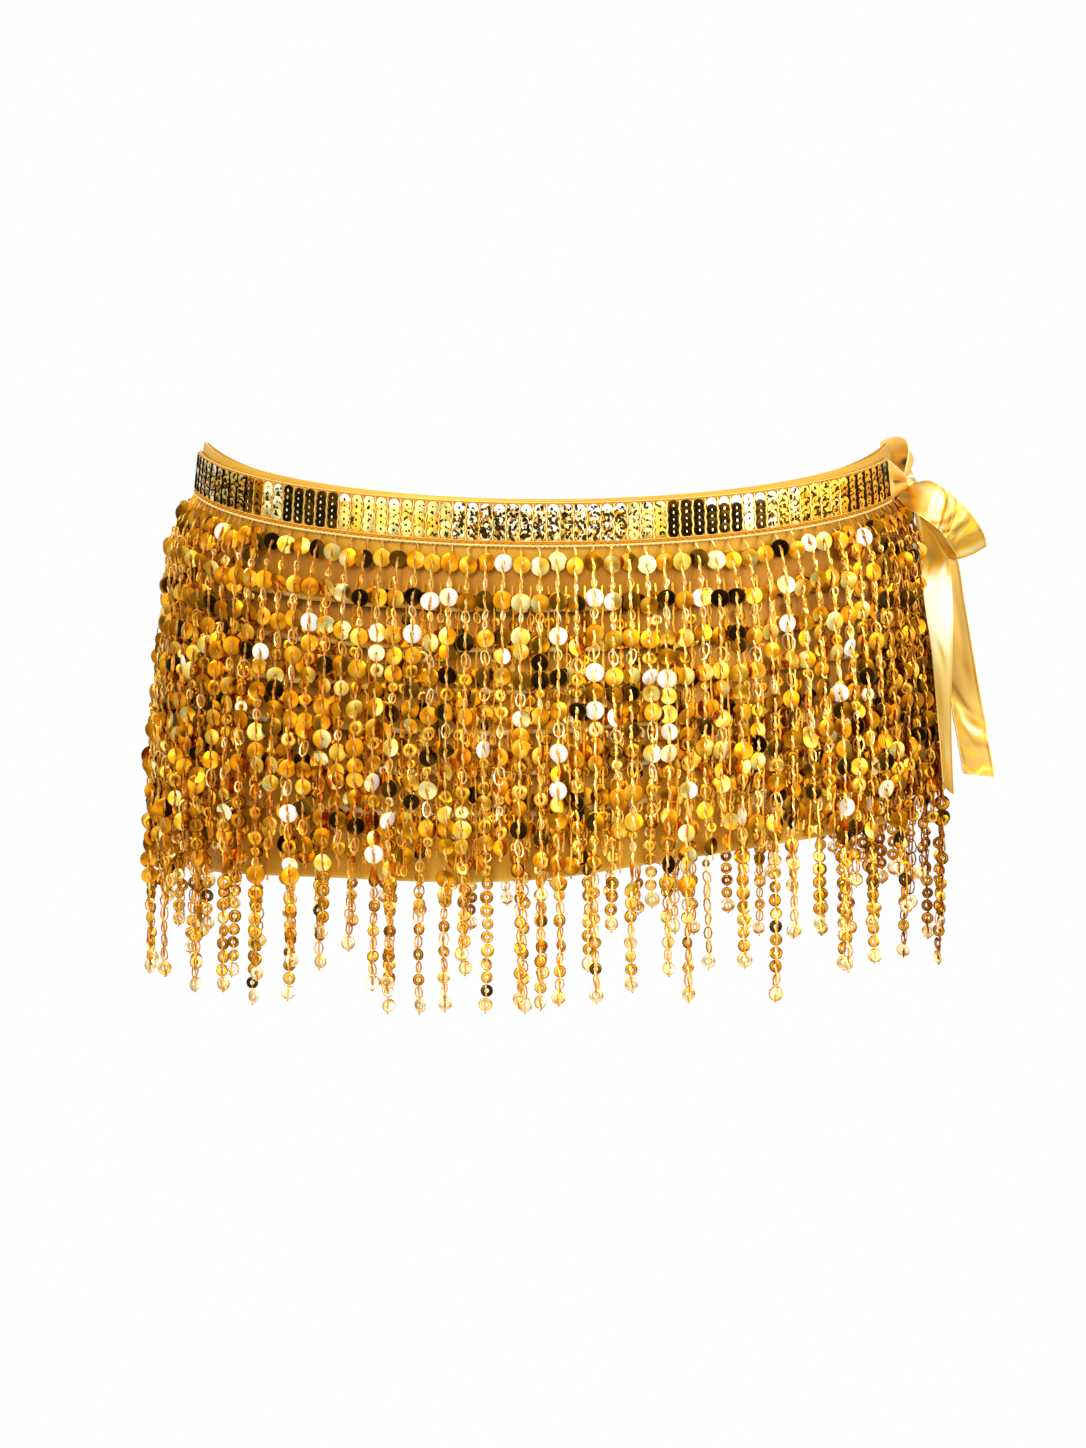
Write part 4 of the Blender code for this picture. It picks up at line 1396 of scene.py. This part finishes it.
def map_range(tree, value, from_min, from_max, to_min=0.0, to_max=1.0):
    inputs = {"Value": value, "From Min": from_min, "From Max": from_max, "To Min": to_min, "To Max": to_max}
    return add_node(tree, "MapRange", "Result", inputs)


def make_world():
    """White to the camera. What the sequins mirror is a pale room with brighter and darker upright zones."""
    world = bpy.data.worlds.new("studio")
    bpy.context.scene.world = world
    world.use_nodes = True
    tree = world.node_tree
    tree.nodes.clear()
    place = add_node(tree, "TexCoord", "Generated")
    axes = tree.nodes.new("ShaderNodeSeparateXYZ")
    plug(tree, axes, {"Vector": place})
    across, ahead, up = axes.outputs
    levels = tree.nodes.new("ShaderNodeValToRGB")
    for position, _ in ROOM_LEVELS[1:-1]:
        levels.color_ramp.elements.new(position)
    for element, (_, level) in zip(levels.color_ramp.elements, ROOM_LEVELS):
        element.color = (level, level, level, 1.0)
    plug(tree, levels, {"Fac": map_range(tree, up, -1.0, 1.0)})
    scaled = add_node(tree, "Math", "Value", {0: across, 1: ROOM_ZONES}, operation="MULTIPLY")
    wave = add_node(tree, "Math", "Value", {0: scaled}, operation="SINE")
    zones = map_range(tree, wave, -1.0, 1.0, 0.55, 1.25)
    behind = map_range(tree, ahead, -0.35, 0.55, 1.06, 0.55)
    dim = add_node(tree, "Math", "Value", {0: zones, 1: behind}, operation="MULTIPLY")
    both = {"Factor": 1.0, "A": levels.outputs["Color"], "B": dim}
    colour = add_node(tree, "Mix", "Result", both, data_type="RGBA", blend_type="MULTIPLY")
    room = add_node(tree, "Background", "Background", {"Color": colour})
    plain = add_node(tree, "Background", "Background", {"Color": (1.0, 1.0, 1.0, 1.0)})
    seen = add_node(tree, "LightPath", "Is Camera Ray")
    either = add_node(tree, "MixShader", "Shader", {"Fac": seen, 1: room, 2: plain})
    plug(tree, tree.nodes.new("ShaderNodeOutputWorld"), {"Surface": either})


def make_studio():
    """Soft lights, a pale floor well below the belt, and the camera at the photo's viewing angle."""
    make_world()
    lights = [
        add_light("key", (-0.9, -2.2, 1.3), 0.9, 26.0, (1.0, 0.97, 0.92)),
        add_light("fill", (1.7, -1.6, 0.5), 1.3, 15.5, (1.0, 0.98, 0.95)),
        add_light("rim", (0.3, 2.2, 1.2), 1.4, 14.0, (1.0, 1.0, 1.0)),
    ]
    bpy.ops.mesh.primitive_circle_add(vertices=64, radius=1.2, fill_type="NGON", location=(0.0, 0.0, -0.9))
    floor = bpy.context.object
    floor.name = "floor"
    paint = bpy.data.materials.new("floor_paint")
    paint.use_nodes = True
    shader = paint.node_tree.nodes["Principled BSDF"]
    plug(paint.node_tree, shader, {"Base Color": (0.9, 0.9, 0.9, 1.0), "Roughness": 0.8})
    floor.data.materials.append(paint)
    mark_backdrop(floor, *lights)

    data = bpy.data.cameras.new("camera")
    data.lens = 134.7
    data.sensor_width = 36.0
    data.sensor_fit = "AUTO"
    camera = bpy.data.objects.new("camera", data)
    distance = 2.6
    elevation = math.radians(2.2)
    target = Vector((-0.002, 0.0, -0.1085))
    camera.location = target + Vector((0.0, -math.cos(elevation), math.sin(elevation))) * distance
    scene = bpy.context.scene
    scene.collection.objects.link(camera)
    aim(camera, target)
    scene.camera = camera
    scene.view_settings.view_transform = "Standard"
    scene.view_settings.look = "None"


def corners():
    return [list(map(float, corner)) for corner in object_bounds()]


def main():
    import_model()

    wrap_satin = satin("wrap_satin", (0.82, 0.74, 0.62), 0.40)
    tier_satin = satin("tier_satin", (0.80, 0.70, 0.55), 0.38)
    ribbon_satin = satin("ribbon_satin", (0.95, 0.90, 0.80), 0.40, 0.82)
    tab_satin = satin("tab_satin", (1.0, 0.94, 0.72), 0.42, 0.15)
    tape = satin("band_tape", (0.85, 0.76, 0.60), 0.45)
    band_metal = metal("sequin_band", 0.16)
    large_metal = metal("paillettes", 0.20)
    small_metal = metal("small_sequins", 0.22)
    pale_metal = metal("pale_sequins", 0.22, metallic=0.25)
    thread = metal("metallic_thread", 0.32, metallic=0.7)
    cord = metal("braid_cord", 0.45, metallic=0.15)

    wrap = make_wrap(wrap_satin)
    tiers = [make_tier(tier, tier_satin) for tier in range(TIERS)]
    band = make_band(tape, (band_metal, pale_metal), cord)
    upper, lower = make_strands((large_metal, pale_metal), small_metal, thread)
    front_root = BAND_FRONT_END - 0.6
    back_root = BAND_BACK_END + 360.6
    front_top = band_top_z(front_root)
    front_tab = make_tab("front_tab", front_root, 84.5, front_top, 1.3, 0.0, 0.0, 0.52, tab_satin)
    back_tab = make_tab("back_tab", back_root, 89.8, 0.0268, 2.4, 0.0040, 0.0080, 0.36, tab_satin)
    knot = make_knot(ribbon_satin)
    loop = make_ribbon("loop", LOOP, LOOP_FOLDS, LOOP_PAINTED_LIGHT, LOOP_GLINTS, ribbon_satin, 170)
    tails = (
        ("front_tail", FRONT_TAIL, FRONT_TAIL_FOLDS, FRONT_PAINTED_LIGHT, FRONT_GLINTS),
        ("back_tail", BACK_TAIL, BACK_TAIL_FOLDS, BACK_PAINTED_LIGHT, BACK_GLINTS),
    )
    front_tail, back_tail = (make_ribbon(*tail, ribbon_satin) for tail in tails)
    dressed = [
        ([wrap], "skirt_cloth", "wrap_satin"),
        *(([tier], f"tier_{number}", "tier_satin") for number, tier in enumerate(tiers, 1)),
        ([front_tab], "tie_front_tab", "ribbon_satin"),
        ([back_tab], "tie_back_tab", "ribbon_satin"),
        ([knot], "tie_knot", "ribbon_satin"),
        ([loop], "tie_loop", "ribbon_satin"),
        ([front_tail], "tie_tail_front", "ribbon_satin"),
        ([back_tail], "tie_tail_back", "ribbon_satin"),
        (band, "waistband", "sequin_band"),
        (upper, "fringe_upper", "sequin_fringe"),
        (lower, "fringe_lower", "sequin_fringe"),
    ]
    for items, node, slot in dressed:
        for item in items:
            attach(item, "root")
            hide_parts(node)

    make_studio()


main()
